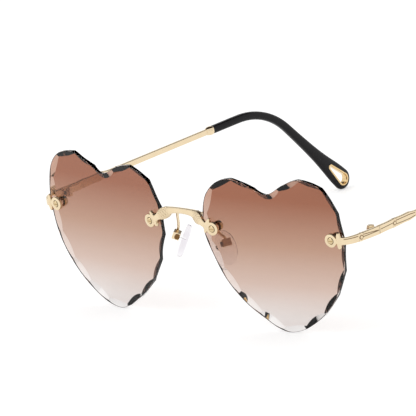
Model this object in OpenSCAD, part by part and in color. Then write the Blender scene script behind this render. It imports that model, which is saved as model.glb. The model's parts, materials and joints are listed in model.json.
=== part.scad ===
/* [Lenses] */
// Width of one lens across its widest place
lens_w = 56.5; // [53:0.5:61]
// Height of one lens, from the tip of the heart to the top of its outer lobe
lens_h = 53.5; // [50:0.5:58]
// Thickness of a lens
lens_t = 2.2; // [2:0.1:3]
// Gap between the two lenses where they are nearest
bridge_gap = 18.7; // [17:0.1:20]
// How far each lens is turned back at its outer side, in degrees
wrap_a = 6; // [3:0.5:8]
// How far the lenses lean, with their lower ends towards the face, in degrees
lean_a = 4.1; // [2:0.1:6]
// Number of facets ground round the rear edge of a lens
facet_count = 18; // [16:1:20]
// Middle of the first facet from the tip of the heart, along the edge
facet_from = 1; // [0:0.25:4]
// How far in from the edge a facet reaches on the rear face
facet_in = 2; // [1.6:0.1:2.4]
// Plain edge left in front of the facets
edge_land = 0.9; // [0.6:0.1:1.4]

/* [Lens mounts] */
// Distance from the widest place of a lens, at its outer side, to the outer hole
outer_inset = 4; // [3.8:0.1:4.6]
// Distance from the widest place of a lens, at its inner side, to the inner hole
inner_inset = 4.4; // [4:0.1:5]
// Height of the outer hole above the middle of the lens
outer_v = 7.2; // [5:0.1:9]
// Height of the inner hole above the middle of the lens
inner_v = 8; // [6:0.1:10]
// Diameter of the hole through a lens
hole_d = 2.4; // [2.2:0.05:2.8]
// Diameter of the mount screw
screw_d = 1.4; // [1.2:0.05:1.6]
// Diameter of the mount screw's head
screw_head_d = 2.1; // [2:0.1:2.6]
// Diameter of the round plate in front of a lens
disc_d = 4.6; // [4.2:0.1:5.2]
// Thickness of the metal plates in front of a lens
plate_t = 1.1; // [0.9:0.1:1.4]
// Diameter of the clear washers
washer_d = 3.8; // [3.4:0.1:4.1]
// Thickness of the clear washers
washer_t = 0.35; // [0.3:0.05:0.6]
// Diameter of the cap nut behind a lens
nut_d = 3.3; // [3:0.1:3.6]
// Length of the cap nut's straight wall
nut_h = 1.3; // [1.1:0.1:1.8]

/* [Bridge] */
// Rise of the bridge bar above its two mount plates
bar_rise = 4.5; // [3:0.1:6]
// How far the middle of the bar stands behind its mount plates
bar_back = 0.8; // [0.4:0.1:1.2]
// Height of the knob at each end of the bar
knob_h = 4; // [3.2:0.1:4.6]
// Depth of the knob, front to back
knob_t = 2.2; // [1.8:0.1:2.6]

/* [Nose pads] */
// Length of a nose pad
pad_len = 12; // [11.5:0.5:14]
// Width of a nose pad
pad_w = 7; // [6:0.25:8]
// Thickness of a nose pad at its middle
pad_t = 2.3; // [2:0.1:2.6]
// Distance of the pad screw from the plane of symmetry
pad_x = 11.3; // [10.8:0.1:12.5]
// Distance of the pad screw behind the middle of the lenses
pad_y = 4.3; // [4:0.1:5.5]
// Height of the pad screw above the middle of the lenses
pad_z = 0.3; // [-1:0.1:1]
// How far a pad is turned to face the rear, in degrees
pad_splay_a = 32; // [26:1:40]
// How far the top of a pad leans to the nose, in degrees
pad_tilt_a = 24; // [18:1:28]
// How far the top of a pad leans to the rear, in degrees
pad_lean_a = 8; // [4:1:12]
// Diameter of the pad arm wire
wire_d = 1; // [0.8:0.05:1.2]

/* [Temples] */
// Distance from the hinge to the corner of the bend over the ear
bend_at = 98.3; // [94:0.1:104]
// How far the tail of the temple turns down, in degrees
drop_a = 47; // [42:0.5:55]
// Radius of the bend
bend_r = 31.5; // [24:0.5:34]
// How far each temple leans inwards along its length, in degrees
toe_in_a = 0.9; // [0:0.1:3]
// How far the temple's line climbs towards the bend, in degrees
climb_a = 2; // [0:0.1:3]
// Height of the hinge above the outer lens holes
temple_rise = 0.5; // [0.2:0.1:1.5]
// Distance of the hinge behind the middle of the lenses
hinge_y = 13.2; // [12.4:0.2:15]
// Gap between the widest place of a lens and the inner face of the endpiece
edge_gap = 3.4; // [3.2:0.1:3.8]
// Height of the temple strip by the hinge
strip_h = 2.9; // [2.6:0.1:3.3]
// Height of the temple strip behind its leaf-shaped front
strip_slim_h = 2; // [1.8:0.05:2.2]
// Thickness of the temple strip
strip_t = 1.2; // [1.1:0.05:1.3]
// Distance of the seam between endpiece and temple behind the hinge
seam_at = 1.6; // [1.4:0.1:2]
// Length of the leaf-shaped front of the temple strip
leaf_run = 16; // [14:0.5:18]
// Distance from the hinge to the collar in front of the sleeve
ferrule_at = 68.6; // [64:0.2:71]
// Length of that collar
ferrule_len = 2.9; // [2.4:0.1:3.4]
// Diameter of the core wire inside the sleeve
core_d = 1.1; // [0.9:0.05:1.1]

/* [Temple tips] */
// Height of the sleeve where it starts
sleeve_h = 2.8; // [2.7:0.1:3.2]
// Thickness of the sleeve where it starts
sleeve_t = 2.6; // [2.5:0.1:3]
// Width of the paddle at the end
paddle_w = 7.4; // [7:0.1:8.6]
// Thickness of the paddle
paddle_t = 2.4; // [2.2:0.1:2.8]
// Outer radius of the drop-shaped ring at its wide end
drop_r = 2.4; // [2.1:0.05:2.5]
// Outer radius of the drop-shaped ring at its narrow end
drop_tip_r = 1.1; // [1:0.05:1.3]
// Distance between the ring's two round ends, centre to centre
drop_run = 8.2; // [7:0.1:9]
// Wall of the drop-shaped ring
drop_wall = 0.75; // [0.6:0.05:0.8]

/* [Hinges] */
// Radius of a hinge knuckle
knuckle_r = 1.25; // [1.15:0.05:1.3]
// Height of the knuckle on the temple
mid_knuckle_h = 1.2; // [1:0.1:1.5]
// Height of each of the two knuckles on the endpiece
end_knuckle_h = 0.8; // [0.7:0.1:1]
// Diameter of the hinge screw
hinge_screw_d = 1.2; // [1.1:0.05:1.3]
// Diameter of the hinge screw's head
hinge_head_d = 2.3; // [2.1:0.1:2.4]
// Thickness of a hinge leaf
leaf_t = 0.6; // [0.5:0.05:0.7]
// Length of a hinge leaf
leaf_len = 5; // [4:0.25:6]

/* [Hidden] */

// Colours of the materials
gold = "#ead8ae";
dark_gold = "#cdb68a";
tea = "#a8745f";
clear = "#e6e0e6";
black = "#1c1b1c";

// Overrun of every cut, the clearance of still and of turning fits, and of open gaps
over = 1;
fit = 0.02;
run_fit = 0.04;
play = 0.12;

// Sides of large and small round pieces
round_fn = 48;
small_fn = 24;

// Width and depth of the slots in the screw heads
slot_w = 0.35;
slot_deep = 0.25;

// Outline of a heart lens, as shares of its half width and half height, from the tip
// up the outer side, over the outer lobe, through the cleft and down the inner side
heart_shares = [
  [0.055, -1], [0.3, -0.925], [0.583, -0.72], [0.807, -0.45], [0.947, -0.147],
  [1, 0.195], [0.987, 0.47], [0.896, 0.773], [0.713, 0.953], [0.457, 1],
  [0.234, 0.918], [0.075, 0.82], [-0.025, 0.785], [-0.154, 0.822], [-0.319, 0.91],
  [-0.531, 0.952], [-0.737, 0.89], [-0.909, 0.712], [-0.99, 0.449], [-1, 0.221],
  [-0.926, -0.041], [-0.782, -0.376], [-0.551, -0.66], [-0.297, -0.853], [-0.12, -0.963]
];
outline_steps = 4;

// A point on a smooth curve from b to c, with a and d as their neighbours
function curve(a, b, c, d, t) =
  b + (c - a) * t / 2 + (2 * a - 5 * b + 4 * c - d) * t * t / 2
  + (3 * b - 3 * c + d - a) * t * t * t / 2;
function around(list, i) = list[(i + len(list)) % len(list)];
function held(list, i) = list[max(0, min(len(list) - 1, i))];
function unit(v) = v / norm(v);
function cross2(a, b) = a.x * b.y - a.y * b.x;
function spline(list, steps) = [
  for (i = [0 : len(list) - 2]) for (j = [0 : steps - 1])
    curve(held(list, i - 1), list[i], list[i + 1], held(list, i + 2), j / steps),
  list[len(list) - 1]
];

heart = [
  for (i = [0 : len(heart_shares) - 1]) for (j = [0 : outline_steps - 1])
    let (s = curve(around(heart_shares, i - 1), heart_shares[i],
                   around(heart_shares, i + 1), around(heart_shares, i + 2), j / outline_steps))
    [s.x * lens_w / 2, s.y * lens_h / 2]
];

// Length along the heart's edge up to each of its points, and the place at a given length
function run_to(i) = i == 0 ? 0 : run_to(i - 1) + norm(around(heart, i) - heart[i - 1]);
heart_runs = [for (i = [0 : len(heart)]) run_to(i)];
edge_len = heart_runs[len(heart)];
edge_u = [for (i = [0 : len(heart)]) [heart_runs[i], around(heart, i).x]];
edge_v = [for (i = [0 : len(heart)]) [heart_runs[i], around(heart, i).y]];
function wrapped(s) = s - edge_len * floor(s / edge_len);
function edge_at(s) = [lookup(wrapped(s), edge_u), lookup(wrapped(s), edge_v)];
facet_pitch = edge_len / facet_count;
facet_reach_share = 0.9;
function facet_mid(i) = edge_at(i * facet_pitch + facet_from);
function facet_out(i) =
  let (d = unit(edge_at((i + 0.5) * facet_pitch + facet_from) - edge_at((i - 0.5) * facet_pitch + facet_from)))
  [d.y, -d.x];

// A facet is the trace of a cone whose circle on the rear face cuts facet_in deep
facet_chord = facet_pitch * facet_reach_share;
facet_r = facet_chord * facet_chord / 8 / facet_in + facet_in / 2;
facet_slope = facet_in / (lens_t - edge_land);

// Places of the lenses and of their mounts
lens_x = bridge_gap / 2 + lens_w / 2 * cos(wrap_a);
lens_up = lens_h / 2 * cos(lean_a) + lens_t / 2 * sin(lean_a);
outer_u = lens_w / 2 - outer_inset;
inner_u = inner_inset - lens_w / 2;
plate_z = lens_t / 2 + washer_t;

// Place of a point of the left lens: u outwards, v up and f in front of its middle
function lens_place(u, v, f) =
  let (x = lens_x + u * cos(wrap_a) + f * sin(wrap_a), y = u * sin(wrap_a) - f * cos(wrap_a))
  [x, y * cos(lean_a) - v * sin(lean_a), lens_up + y * sin(lean_a) + v * cos(lean_a)];

// Places of the hinge and of the temple's line
strip_in = knuckle_r + play;
strip_off = strip_in + strip_t / 2;
temple_up = lens_up + outer_v + temple_rise;
widest_y = lens_w / 2 * sin(wrap_a);
hinge_x = lens_x + lens_w / 2 * cos(wrap_a) + edge_gap
  - (hinge_y - widest_y) * tan(toe_in_a) - strip_in / cos(toe_in_a);
seam = 0.15;

// The temple's line, from the hinge: straight, round the bend, then down the tail
bend_cut = bend_r * tan(drop_a / 2);
bend_from = bend_at - bend_cut;
bend_to = bend_from + bend_r * drop_a * PI / 180;
corner_to_end = (temple_up - paddle_w / 2 + bend_at * sin(climb_a)) / sin(drop_a - climb_a);
line_end = bend_to + corner_to_end - bend_cut;
function line_a(s) = max(0, min(drop_a, (s - bend_from) / bend_r * 180 / PI));
function line_y(s) =
  min(s, bend_from) + bend_r * sin(line_a(s)) + max(0, s - bend_to) * cos(drop_a);
function line_z(s) = bend_r * (cos(line_a(s)) - 1) - max(0, s - bend_to) * sin(drop_a);

// Front and rear ends of the whole, so that its middle can be the origin
plate_mid = lens_place(inner_u, inner_v, plate_z + plate_t / 2);
disc_edge = lens_place(inner_u - disc_d / 2, inner_v, plate_z + plate_t);
front_y = min(disc_edge.y, plate_mid.y - knob_t / 2);
tail_back = line_y(line_end) * cos(climb_a) - line_z(line_end) * sin(climb_a) + paddle_w / 2;
rear_y = hinge_y + strip_off * sin(toe_in_a) + tail_back * cos(toe_in_a);
mid_y = (front_y + rear_y) / 2;

// Swept pieces are skins over rings, each a rounded oblong round its middle
ring_sides = 16;
boxy_share = 0.45;
soft_share = 0.75;
round_share = 1;
function rounded(c, share) = sign(c) * pow(abs(c), share);
function ring(p, side, up, w, h, share) = [
  for (k = [0 : ring_sides - 1])
    let (a = 360 * k / ring_sides)
    p + side * w / 2 * rounded(cos(a), share) + up * h / 2 * rounded(sin(a), share)
];
module skin(rings) {
  n = len(rings[0]);
  m = len(rings);
  polyhedron(
    points = [for (r = rings) for (p = r) p],
    faces = concat(
      [[for (k = [0 : n - 1]) k]],
      [for (i = [0 : m - 2]) for (k = [0 : n - 1])
        [i * n + k, i * n + n + k, i * n + n + (k + 1) % n]],
      [for (i = [0 : m - 2]) for (k = [0 : n - 1])
        [i * n + k, i * n + n + (k + 1) % n, i * n + (k + 1) % n]],
      [[for (k = [n - 1 : -1 : 0]) (m - 1) * n + k]]));
}

module placed() {
  translate([0, -mid_y, 0]) children();
}
module other_side() {
  mirror([1, 0, 0]) children();
}
module both_sides() {
  children();
  other_side() children();
}
module at_lens() {
  translate([0, 0, lens_up])
    rotate([lean_a, 0, 0])
      translate([lens_x, 0, 0])
        rotate([0, 0, wrap_a])
          children();
}
// Local Z points to the front, X outwards and Y up, from a hole of the lens
module at_hole(u, v) {
  at_lens() translate([u, 0, v]) rotate([90, 0, 0]) children();
}
module at_each_hole() {
  at_hole(outer_u, outer_v) children();
  at_hole(inner_u, inner_v) children();
}
module at_hinge() {
  translate([hinge_x, hinge_y, temple_up]) rotate([0, 0, toe_in_a]) children();
}
// Local Y points along the temple's line, from the hinge
module at_temple() {
  at_hinge() rotate([climb_a, 0, 0]) translate([strip_off, 0, 0]) children();
}
// Local X points away from the nose, Y along the pad screw and Z up the pad
module at_pad() {
  translate([pad_x, pad_y, lens_up + pad_z])
    rotate([-pad_lean_a, -pad_tilt_a, 0])
      rotate([0, 0, -pad_splay_a])
        children();
}
module tube(h, r, bore_r) {
  difference() {
    cylinder(h = h, r = r, $fn = round_fn);
    translate([0, 0, -over]) cylinder(h = h + 2 * over, r = bore_r, $fn = round_fn);
  }
}

// Lens: a heart of flat sheet, with hollow facets ground round its rear edge
module lens() {
  placed() at_lens() rotate([90, 0, 0])
    difference() {
      linear_extrude(height = lens_t, center = true) polygon(heart);
      for (i = [0 : facet_count - 1])
        translate(facet_mid(i) + facet_out(i) * (facet_r - facet_in))
          translate([0, 0, -lens_t / 2 - over])
            cylinder(h = lens_t - edge_land + over, r1 = facet_r + over * facet_slope,
                     r2 = facet_r - facet_in, $fn = round_fn);
      for (p = [[outer_u, outer_v], [inner_u, inner_v]])
        translate([p.x, p.y, -lens_t / 2 - over])
          cylinder(h = lens_t + 2 * over, d = hole_d, $fn = round_fn);
    }
}
module lens_left() {
  color(tea, 0.75) lens();
}
module lens_right() {
  color(tea, 0.75) other_side() lens();
}

// Mount plate: a round plate with a recess for the screw, and a bow across its neck
disc_recess = 0.5;
bow_half_h = 2.65;
bow_half_w = 0.95;
bow_shares = [
  [-0.55, 0], [-0.8, 0.5], [-0.35, 1], [0.35, 1], [0.8, 0.5], [1, 0.3],
  [1, -0.3], [0.8, -0.5], [0.35, -1], [-0.35, -1], [-0.8, -0.5]
];
neck_h = 1.9;
module mount_plate(turn_a, bow_at) {
  translate([0, 0, plate_z])
    difference() {
      union() {
        cylinder(h = plate_t, d = disc_d, $fn = round_fn);
        rotate([0, 0, turn_a]) {
          translate([0, -neck_h / 2, 0]) cube([bow_at, neck_h, plate_t]);
          translate([bow_at, 0, 0])
            linear_extrude(height = plate_t)
              polygon([for (s = bow_shares) [s.x * bow_half_w, s.y * bow_half_h]]);
        }
      }
      translate([0, 0, -over])
        cylinder(h = plate_t + 2 * over, r = screw_d / 2 + fit, $fn = round_fn);
      translate([0, 0, plate_t - disc_recess])
        cylinder(h = disc_recess + over, r = screw_head_d / 2 + play, $fn = round_fn);
    }
}

// Bridge bar: stations from the mount plate to the middle, as shares of the plate's
// distance from the middle, of the bar's rise and set-back, and of the knob's height and depth
bar_shares = [
  [0.865, 0.13, -0.2, 0.48, 0.5], [0.79, 0.24, -0.5, 0.5, 0.5], [0.7, 0.42, -0.5, 0.58, 0.6],
  [0.62, 0.56, -0.1, 0.88, 0.82], [0.545, 0.68, 0.45, 1, 1], [0.47, 0.79, 0.85, 0.92, 0.95],
  [0.39, 0.89, 1, 0.68, 0.78], [0.3, 0.95, 1, 0.56, 0.7], [0.15, 0.99, 1, 0.5, 0.66],
  [0, 1, 1, 0.48, 0.66]
];
bar_steps = 3;
bar_half = [
  for (s = spline(bar_shares, bar_steps))
    [[plate_mid.x * s[0], plate_mid.y + bar_back * s[2], plate_mid.z + bar_rise * s[1]],
     knob_t * s[4], knob_h * s[3]]
];
bar_line = concat(bar_half, [
  for (i = [len(bar_half) - 2 : -1 : 0])
    [[-bar_half[i][0].x, bar_half[i][0].y, bar_half[i][0].z], bar_half[i][1], bar_half[i][2]]
]);

// Pad arm: a wire from a blind hole in the back of the bar down to the pad box, by
// stations as shares of its run outwards, backwards and down
wire_shares = [
  [0.02, 0.24, 0.015], [0.1, 0.5, 0.13], [0.26, 0.62, 0.35], [0.5, 0.79, 0.63],
  [0.72, 0.91, 0.82], [0.91, 0.985, 0.92]
];
wire_steps = 4;
root_share = 0.45;
root_rise_share = 0.82;
root_back_share = 0.9;
root_half_share = 0.44;
root_deep = 0.7;
tab_back = 0.75;
tab_h = 1.4;
box_inside = norm([tab_back, tab_h / 2]) + 2 * play;
box_back = 0.4;
root_y = plate_mid.y + bar_back * root_back_share + knob_t * root_half_share;
wire_root = [plate_mid.x * root_share, root_y, plate_mid.z + bar_rise * root_rise_share];
wire_land = 0.6;
box_half_h = 1.25;
// A pad's local direction as it stands in the whole
function pad_turned(p) =
  let (
    a = [p.x * cos(pad_splay_a) + p.y * sin(pad_splay_a),
         p.y * cos(pad_splay_a) - p.x * sin(pad_splay_a), p.z],
    b = [a.x, a.y * cos(pad_lean_a) + a.z * sin(pad_lean_a),
         a.z * cos(pad_lean_a) - a.y * sin(pad_lean_a)])
  [b.x * cos(pad_tilt_a) - b.z * sin(pad_tilt_a), b.y, b.x * sin(pad_tilt_a) + b.z * cos(pad_tilt_a)];
pad_up = pad_turned([0, 0, 1]);
wire_tip = [pad_x, pad_y, lens_up + pad_z] + pad_turned([wire_land, 0, box_half_h]);
wire_run = wire_tip - wire_root;
wire_line = concat(
  [wire_root - [0, root_deep, 0]],
  spline(concat(
    [wire_root],
    [for (s = wire_shares) wire_root + [s.x * wire_run.x, s.y * wire_run.y, s.z * wire_run.z]],
    [wire_tip]), wire_steps));
wire_last = len(wire_line) - 1;
function wire_dir(i) =
  i <= 1 ? [0, 1, 0] : i == wire_last ? -pad_up : unit(wire_line[i + 1] - wire_line[i - 1]);
module pad_arm() {
  placed()
    skin([
      for (i = [0 : wire_last])
        let (d = wire_dir(i), side = unit(cross(d, [1, 0, 0])))
        ring(wire_line[i], side, cross(d, side), wire_d, wire_d, round_share)
    ]);
}
module pad_arm_left() {
  color(gold) pad_arm();
}
module pad_arm_right() {
  color(gold) other_side() pad_arm();
}

bridge_turn_a = 155;
bridge_bow_at = 2.2;
module bridge() {
  color(gold) placed()
    difference() {
      union() {
        both_sides() at_hole(inner_u, inner_v) mount_plate(bridge_turn_a, bridge_bow_at);
        skin([
          for (i = [0 : len(bar_line) - 1])
            let (d = unit(held(bar_line, i + 1)[0] - held(bar_line, i - 1)[0]))
            ring(bar_line[i][0], [0, -1, 0], unit([d.z, 0, -d.x]), bar_line[i][1],
                 bar_line[i][2], boxy_share)
        ]);
      }
      both_sides()
        translate(wire_root - [0, root_deep + fit, 0]) rotate([-90, 0, 0])
          cylinder(h = root_deep + over, r = wire_d / 2 + fit, $fn = small_fn);
    }
}

// Endpiece: a mount plate, and an arm that turns back round the edge of the lens
arm_from = 2.6;
arm_reach = 4.6;
arm_back_reach = 8.5;
arm_steps = 12;
arm_front_h = 2.4;
end_bow_at = 3.1;
arm_start = lens_place(outer_u + arm_from, outer_v, plate_z + plate_t / 2);
back_dir = [-sin(toe_in_a), cos(toe_in_a), 0];
seam_mid = [hinge_x, hinge_y, 0] + strip_off * [cos(toe_in_a), sin(toe_in_a), 0]
  + (seam_at - seam) * back_dir;
arm_poles = [
  [arm_start.x, arm_start.y, 0], [arm_start.x + arm_reach, arm_start.y, 0],
  seam_mid - arm_back_reach * back_dir, seam_mid
];
function arm_at(t) =
  pow(1 - t, 3) * arm_poles[0] + 3 * t * pow(1 - t, 2) * arm_poles[1]
  + 3 * t * t * (1 - t) * arm_poles[2] + pow(t, 3) * arm_poles[3];
function arm_way(t) =
  unit(pow(1 - t, 2) * (arm_poles[1] - arm_poles[0]) + 2 * t * (1 - t) * (arm_poles[2] - arm_poles[1])
       + t * t * (arm_poles[3] - arm_poles[2]));

// Share of the climb from the plate to the temple's line, smooth at both ends
function eased(t) = t * t * (3 - 2 * t);
collar_at = 6.9;
collar_w = 1.1;
collar_proud = 0.15;
collar_a = 18;
module collar(h) {
  rotate([-collar_a, 0, 0])
    cube([strip_t + 2 * collar_proud, collar_w, h + 2 * collar_proud], center = true);
}
module endpiece() {
  difference() {
    placed() {
      at_hole(outer_u, outer_v) mount_plate(0, end_bow_at);
      skin([
        for (i = [0 : arm_steps])
          let (p = arm_at(i / arm_steps), d = arm_way(i / arm_steps), t = eased(i / arm_steps))
          ring([p.x, p.y, arm_start.z + (temple_up - arm_start.z) * t],
               [-d.y, d.x, 0], [0, 0, 1], plate_t + (strip_t - plate_t) * t,
               arm_front_h + (strip_h - arm_front_h) * t, boxy_share)
      ]);
      at_hinge() translate([strip_off, -collar_at, 0]) collar(strip_h);
    }
    // Flat on the inner side of the arm, on which the hinge leaf sits
    placed() at_hinge()
      translate([strip_in - over, -strip_in - leaf_len - fit, -strip_h])
        cube([over, strip_in + leaf_len + fit + seam_at, 2 * strip_h]);
  }
}
module endpiece_left() {
  color(gold) endpiece();
}
module endpiece_right() {
  color(gold) other_side() endpiece();
}

// Mount hardware, the same at each of the four lens holes
head_proud = 0.25;
head_edge = 0.2;
head_h = disc_recess + head_proud;
screw_top = plate_z + plate_t - disc_recess;
screw_len = screw_top + plate_z + nut_h;
module mount_screw() {
  difference() {
    union() {
      translate([0, 0, screw_top - screw_len]) cylinder(h = screw_len, d = screw_d, $fn = round_fn);
      translate([0, 0, screw_top])
        cylinder(h = head_h - head_edge, d = screw_head_d, $fn = round_fn);
      translate([0, 0, screw_top + head_h - head_edge])
        cylinder(h = head_edge, d1 = screw_head_d, d2 = screw_head_d - 2 * head_edge, $fn = round_fn);
    }
    translate([-screw_head_d, -slot_w / 2, screw_top + head_h - slot_deep])
      cube([2 * screw_head_d, slot_w, slot_deep + over]);
  }
}
module mount_screws() {
  color(dark_gold) placed() both_sides() at_each_hole() mount_screw();
}
module mount_bushings() {
  color(clear) placed() both_sides() at_each_hole()
    translate([0, 0, -lens_t / 2]) tube(lens_t, hole_d / 2 - fit, screw_d / 2 + fit);
}
module front_washers() {
  color(clear) placed() both_sides() at_each_hole()
    translate([0, 0, lens_t / 2]) tube(washer_t, washer_d / 2, screw_d / 2 + fit);
}
module rear_washers() {
  color(clear) placed() both_sides() at_each_hole()
    translate([0, 0, -plate_z]) tube(washer_t, washer_d / 2, screw_d / 2 + fit);
}

// Cap nut: a round wall with a domed end, and a blind bore for the screw
dome_h = 0.7;
dome_r = (nut_d * nut_d / 4 + dome_h * dome_h) / 2 / dome_h;
module mount_nut() {
  translate([0, 0, -plate_z]) mirror([0, 0, 1])
    difference() {
      union() {
        cylinder(h = nut_h, d = nut_d, $fn = round_fn);
        intersection() {
          translate([0, 0, nut_h + dome_h - dome_r]) sphere(r = dome_r, $fn = round_fn);
          cylinder(h = nut_h + dome_h, d = nut_d, $fn = round_fn);
        }
      }
      translate([0, 0, -over]) cylinder(h = nut_h + over + fit, r = screw_d / 2 + fit, $fn = round_fn);
    }
}
module mount_nuts() {
  color(dark_gold) placed() both_sides() at_each_hole() mount_nut();
}

// Nose pads, each with a tab that a small screw holds between the cheeks of a box
pad_off = 2.4;
pad_low = 1.2;
pad_face_share = 0.65;
pad_rings = 14;
// Power that makes a pad's edge fuller than an oval's
pad_full = 0.5;
tab_w = 1.3;
coin_d = 3.4;
coin_t = 0.5;
cheek_y = tab_w / 2 + play;
box_cheek = 0.7;
box_front = 0.8;
box_cap = 0.35;
pad_screw_r = 0.5;
pad_head_r = 0.9;
pad_head_h = 0.45;
// Outline of a pad at one level of its thickness, an oval that shrinks to both faces
function pad_ring(t) =
  let (deep = cos(t) > 0 ? pad_t * pad_face_share : pad_t * (1 - pad_face_share))
  [for (i = [0 : 2 * ring_sides - 1])
    let (a = 180 * i / ring_sides, flat = pow(sin(t), pad_full))
    [-pad_off - deep * sign(cos(t)) * pow(abs(cos(t)), pad_full), pad_w / 2 * flat * cos(a),
     pad_len / 2 * flat * sin(a) - pad_low]];
module pad_insert() {
  placed() at_pad()
    difference() {
      union() {
        translate([-pad_off, -tab_w / 2, -tab_h / 2]) cube([pad_off + tab_back, tab_w, tab_h]);
        translate([-pad_off - coin_t / 2, 0, 0]) rotate([0, 90, 0])
          cylinder(h = coin_t, d = coin_d, $fn = round_fn);
      }
      rotate([90, 0, 0])
        cylinder(h = tab_w + 2 * over, r = pad_screw_r + run_fit, center = true, $fn = small_fn);
    }
}
module nose_pad() {
  placed() at_pad()
    difference() {
      skin([for (i = [1 : pad_rings - 1]) pad_ring(180 * i / pad_rings)]);
      translate([-pad_off - coin_t / 2 - fit, 0, 0]) rotate([0, 90, 0])
        cylinder(h = coin_t + 2 * fit, r = coin_d / 2 + fit, $fn = round_fn);
      translate([-pad_off, -tab_w / 2 - fit, -tab_h / 2 - fit])
        cube([pad_off, tab_w + 2 * fit, tab_h + 2 * fit]);
    }
}
module pad_box() {
  placed() at_pad()
    difference() {
      translate([-box_front, -cheek_y - box_cheek, -box_half_h])
        cube([box_front + box_inside + box_back, 2 * (cheek_y + box_cheek), 2 * box_half_h]);
      translate([-box_front - over, -cheek_y, -box_half_h - over])
        cube([box_front + box_inside + over, 2 * cheek_y, 2 * box_half_h + over - box_cap]);
      rotate([90, 0, 0])
        cylinder(h = 2 * (cheek_y + box_cheek + over), r = pad_screw_r + fit, center = true,
                 $fn = small_fn);
    }
}
module pad_screw() {
  at_pad() rotate([90, 0, 0])
    difference() {
      union() {
        cylinder(h = 2 * (cheek_y + box_cheek), r = pad_screw_r, center = true, $fn = small_fn);
        translate([0, 0, cheek_y + box_cheek]) cylinder(h = pad_head_h, r = pad_head_r, $fn = small_fn);
      }
      translate([-slot_w / 2, -pad_head_r - over, cheek_y + box_cheek + pad_head_h - slot_deep])
        cube([slot_w, 2 * (pad_head_r + over), slot_deep + over]);
    }
}
module pad_screws() {
  color(dark_gold) placed() both_sides() pad_screw();
}
module nose_pad_left() {
  color(clear, 0.7) nose_pad();
}
module nose_pad_right() {
  color(clear, 0.7) other_side() nose_pad();
}
module pad_insert_left() {
  color(clear, 0.7) pad_insert();
}
module pad_insert_right() {
  color(clear, 0.7) other_side() pad_insert();
}
module pad_box_left() {
  color(gold) pad_box();
}
module pad_box_right() {
  color(gold) other_side() pad_box();
}

// Hinge: two knuckles on the endpiece, one on the temple, and a screw down the middle
leaf_half_h = 1.1;
knuckle_up = mid_knuckle_h / 2 + play / 2;
hinge_head_h = 0.35;
module hinge_leaf(from) {
  translate([strip_in - leaf_t, from, -leaf_half_h]) cube([leaf_t, leaf_len, 2 * leaf_half_h]);
}
module knuckle(h, from, reach) {
  cylinder(h = h, r = knuckle_r, $fn = round_fn);
  translate([0, seam, 0]) cube([reach, from + leaf_t - seam, h]);
}
module front_hinge() {
  placed() at_hinge()
    difference() {
      union() {
        mirror([0, 1, 0]) hinge_leaf(strip_in);
        mirror([0, 1, 0])
          for (z = [knuckle_up, -knuckle_up - end_knuckle_h])
            translate([0, 0, z]) knuckle(end_knuckle_h, strip_in, strip_in);
      }
      cylinder(h = 2 * (knuckle_up + end_knuckle_h + over), r = hinge_screw_d / 2 + fit,
               center = true, $fn = round_fn);
    }
}
module temple_hinge() {
  placed() at_hinge()
    difference() {
      union() {
        hinge_leaf(seam_at);
        translate([0, 0, -mid_knuckle_h / 2]) knuckle(mid_knuckle_h, seam_at, strip_in - play);
      }
      cylinder(h = mid_knuckle_h + 2 * over, r = hinge_screw_d / 2 + run_fit, center = true,
               $fn = round_fn);
    }
}
module hinge_screw() {
  at_hinge()
    difference() {
      union() {
        translate([0, 0, -knuckle_up - end_knuckle_h])
          cylinder(h = 2 * (knuckle_up + end_knuckle_h), d = hinge_screw_d, $fn = round_fn);
        translate([0, 0, knuckle_up + end_knuckle_h])
          cylinder(h = hinge_head_h, d = hinge_head_d, $fn = round_fn);
      }
      translate([-hinge_head_d, -slot_w / 2, knuckle_up + end_knuckle_h + hinge_head_h - slot_deep])
        cube([2 * hinge_head_d, slot_w, slot_deep + over]);
    }
}
module hinge_screws() {
  color(dark_gold) placed() both_sides() hinge_screw();
}
module front_hinge_left() {
  color(gold) front_hinge();
}
module front_hinge_right() {
  color(gold) other_side() front_hinge();
}
module temple_hinge_left() {
  color(gold) temple_hinge();
}
module temple_hinge_right() {
  color(gold) other_side() temple_hinge();
}

// A ring across the temple's line at a given length of it, moved out along it
function line_ring(s, out, w, h, share) =
  let (a = line_a(s))
  ring([0, line_y(s) + out * cos(a), line_z(s) - out * sin(a)], [-1, 0, 0],
       [0, sin(a), cos(a)], w, h, share);

// Temple: a metal strip with a leaf-shaped front, then a core wire round the bend, by
// stations along the leaf as shares of its length and of the strip's height
strip_shares = [[0, 1], [0.25, 0.96], [0.5, 1.03], [0.75, 0.96], [0.95, 1], [1.06, 0.82]];
slim_from_share = 1.2;
knot_shares = [0.47, 1.42];
core_in = 0.5;
core_reach_share = 0.6;
core_end = bend_to + (corner_to_end - bend_cut) * core_reach_share;
bend_steps = 14;
module along_line(from, to, r) {
  stations = concat(
    [from],
    [for (i = [0 : bend_steps]) bend_from + (bend_to - bend_from) * i / bend_steps],
    [to]);
  skin([for (s = stations) line_ring(s, 0, 2 * r, 2 * r, round_share)]);
}
module temple() {
  placed() at_temple() {
    skin([
      for (s = concat(strip_shares, [[slim_from_share, strip_slim_h / strip_h],
                                     [(ferrule_at - seam_at) / leaf_run, strip_slim_h / strip_h]]))
        ring([0, seam_at + s[0] * leaf_run, 0], [-1, 0, 0], [0, 0, 1], strip_t, strip_h * s[1],
             boxy_share)
    ]);
    translate([0, seam_at + knot_shares[0] * leaf_run, 0]) collar(strip_h);
    translate([0, seam_at + knot_shares[1] * leaf_run, 0]) collar(strip_slim_h);
    along_line(ferrule_at - core_in, core_end, core_d / 2);
  }
}
module temple_left() {
  color(gold) temple();
}
module temple_right() {
  color(gold) other_side() temple();
}

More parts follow.
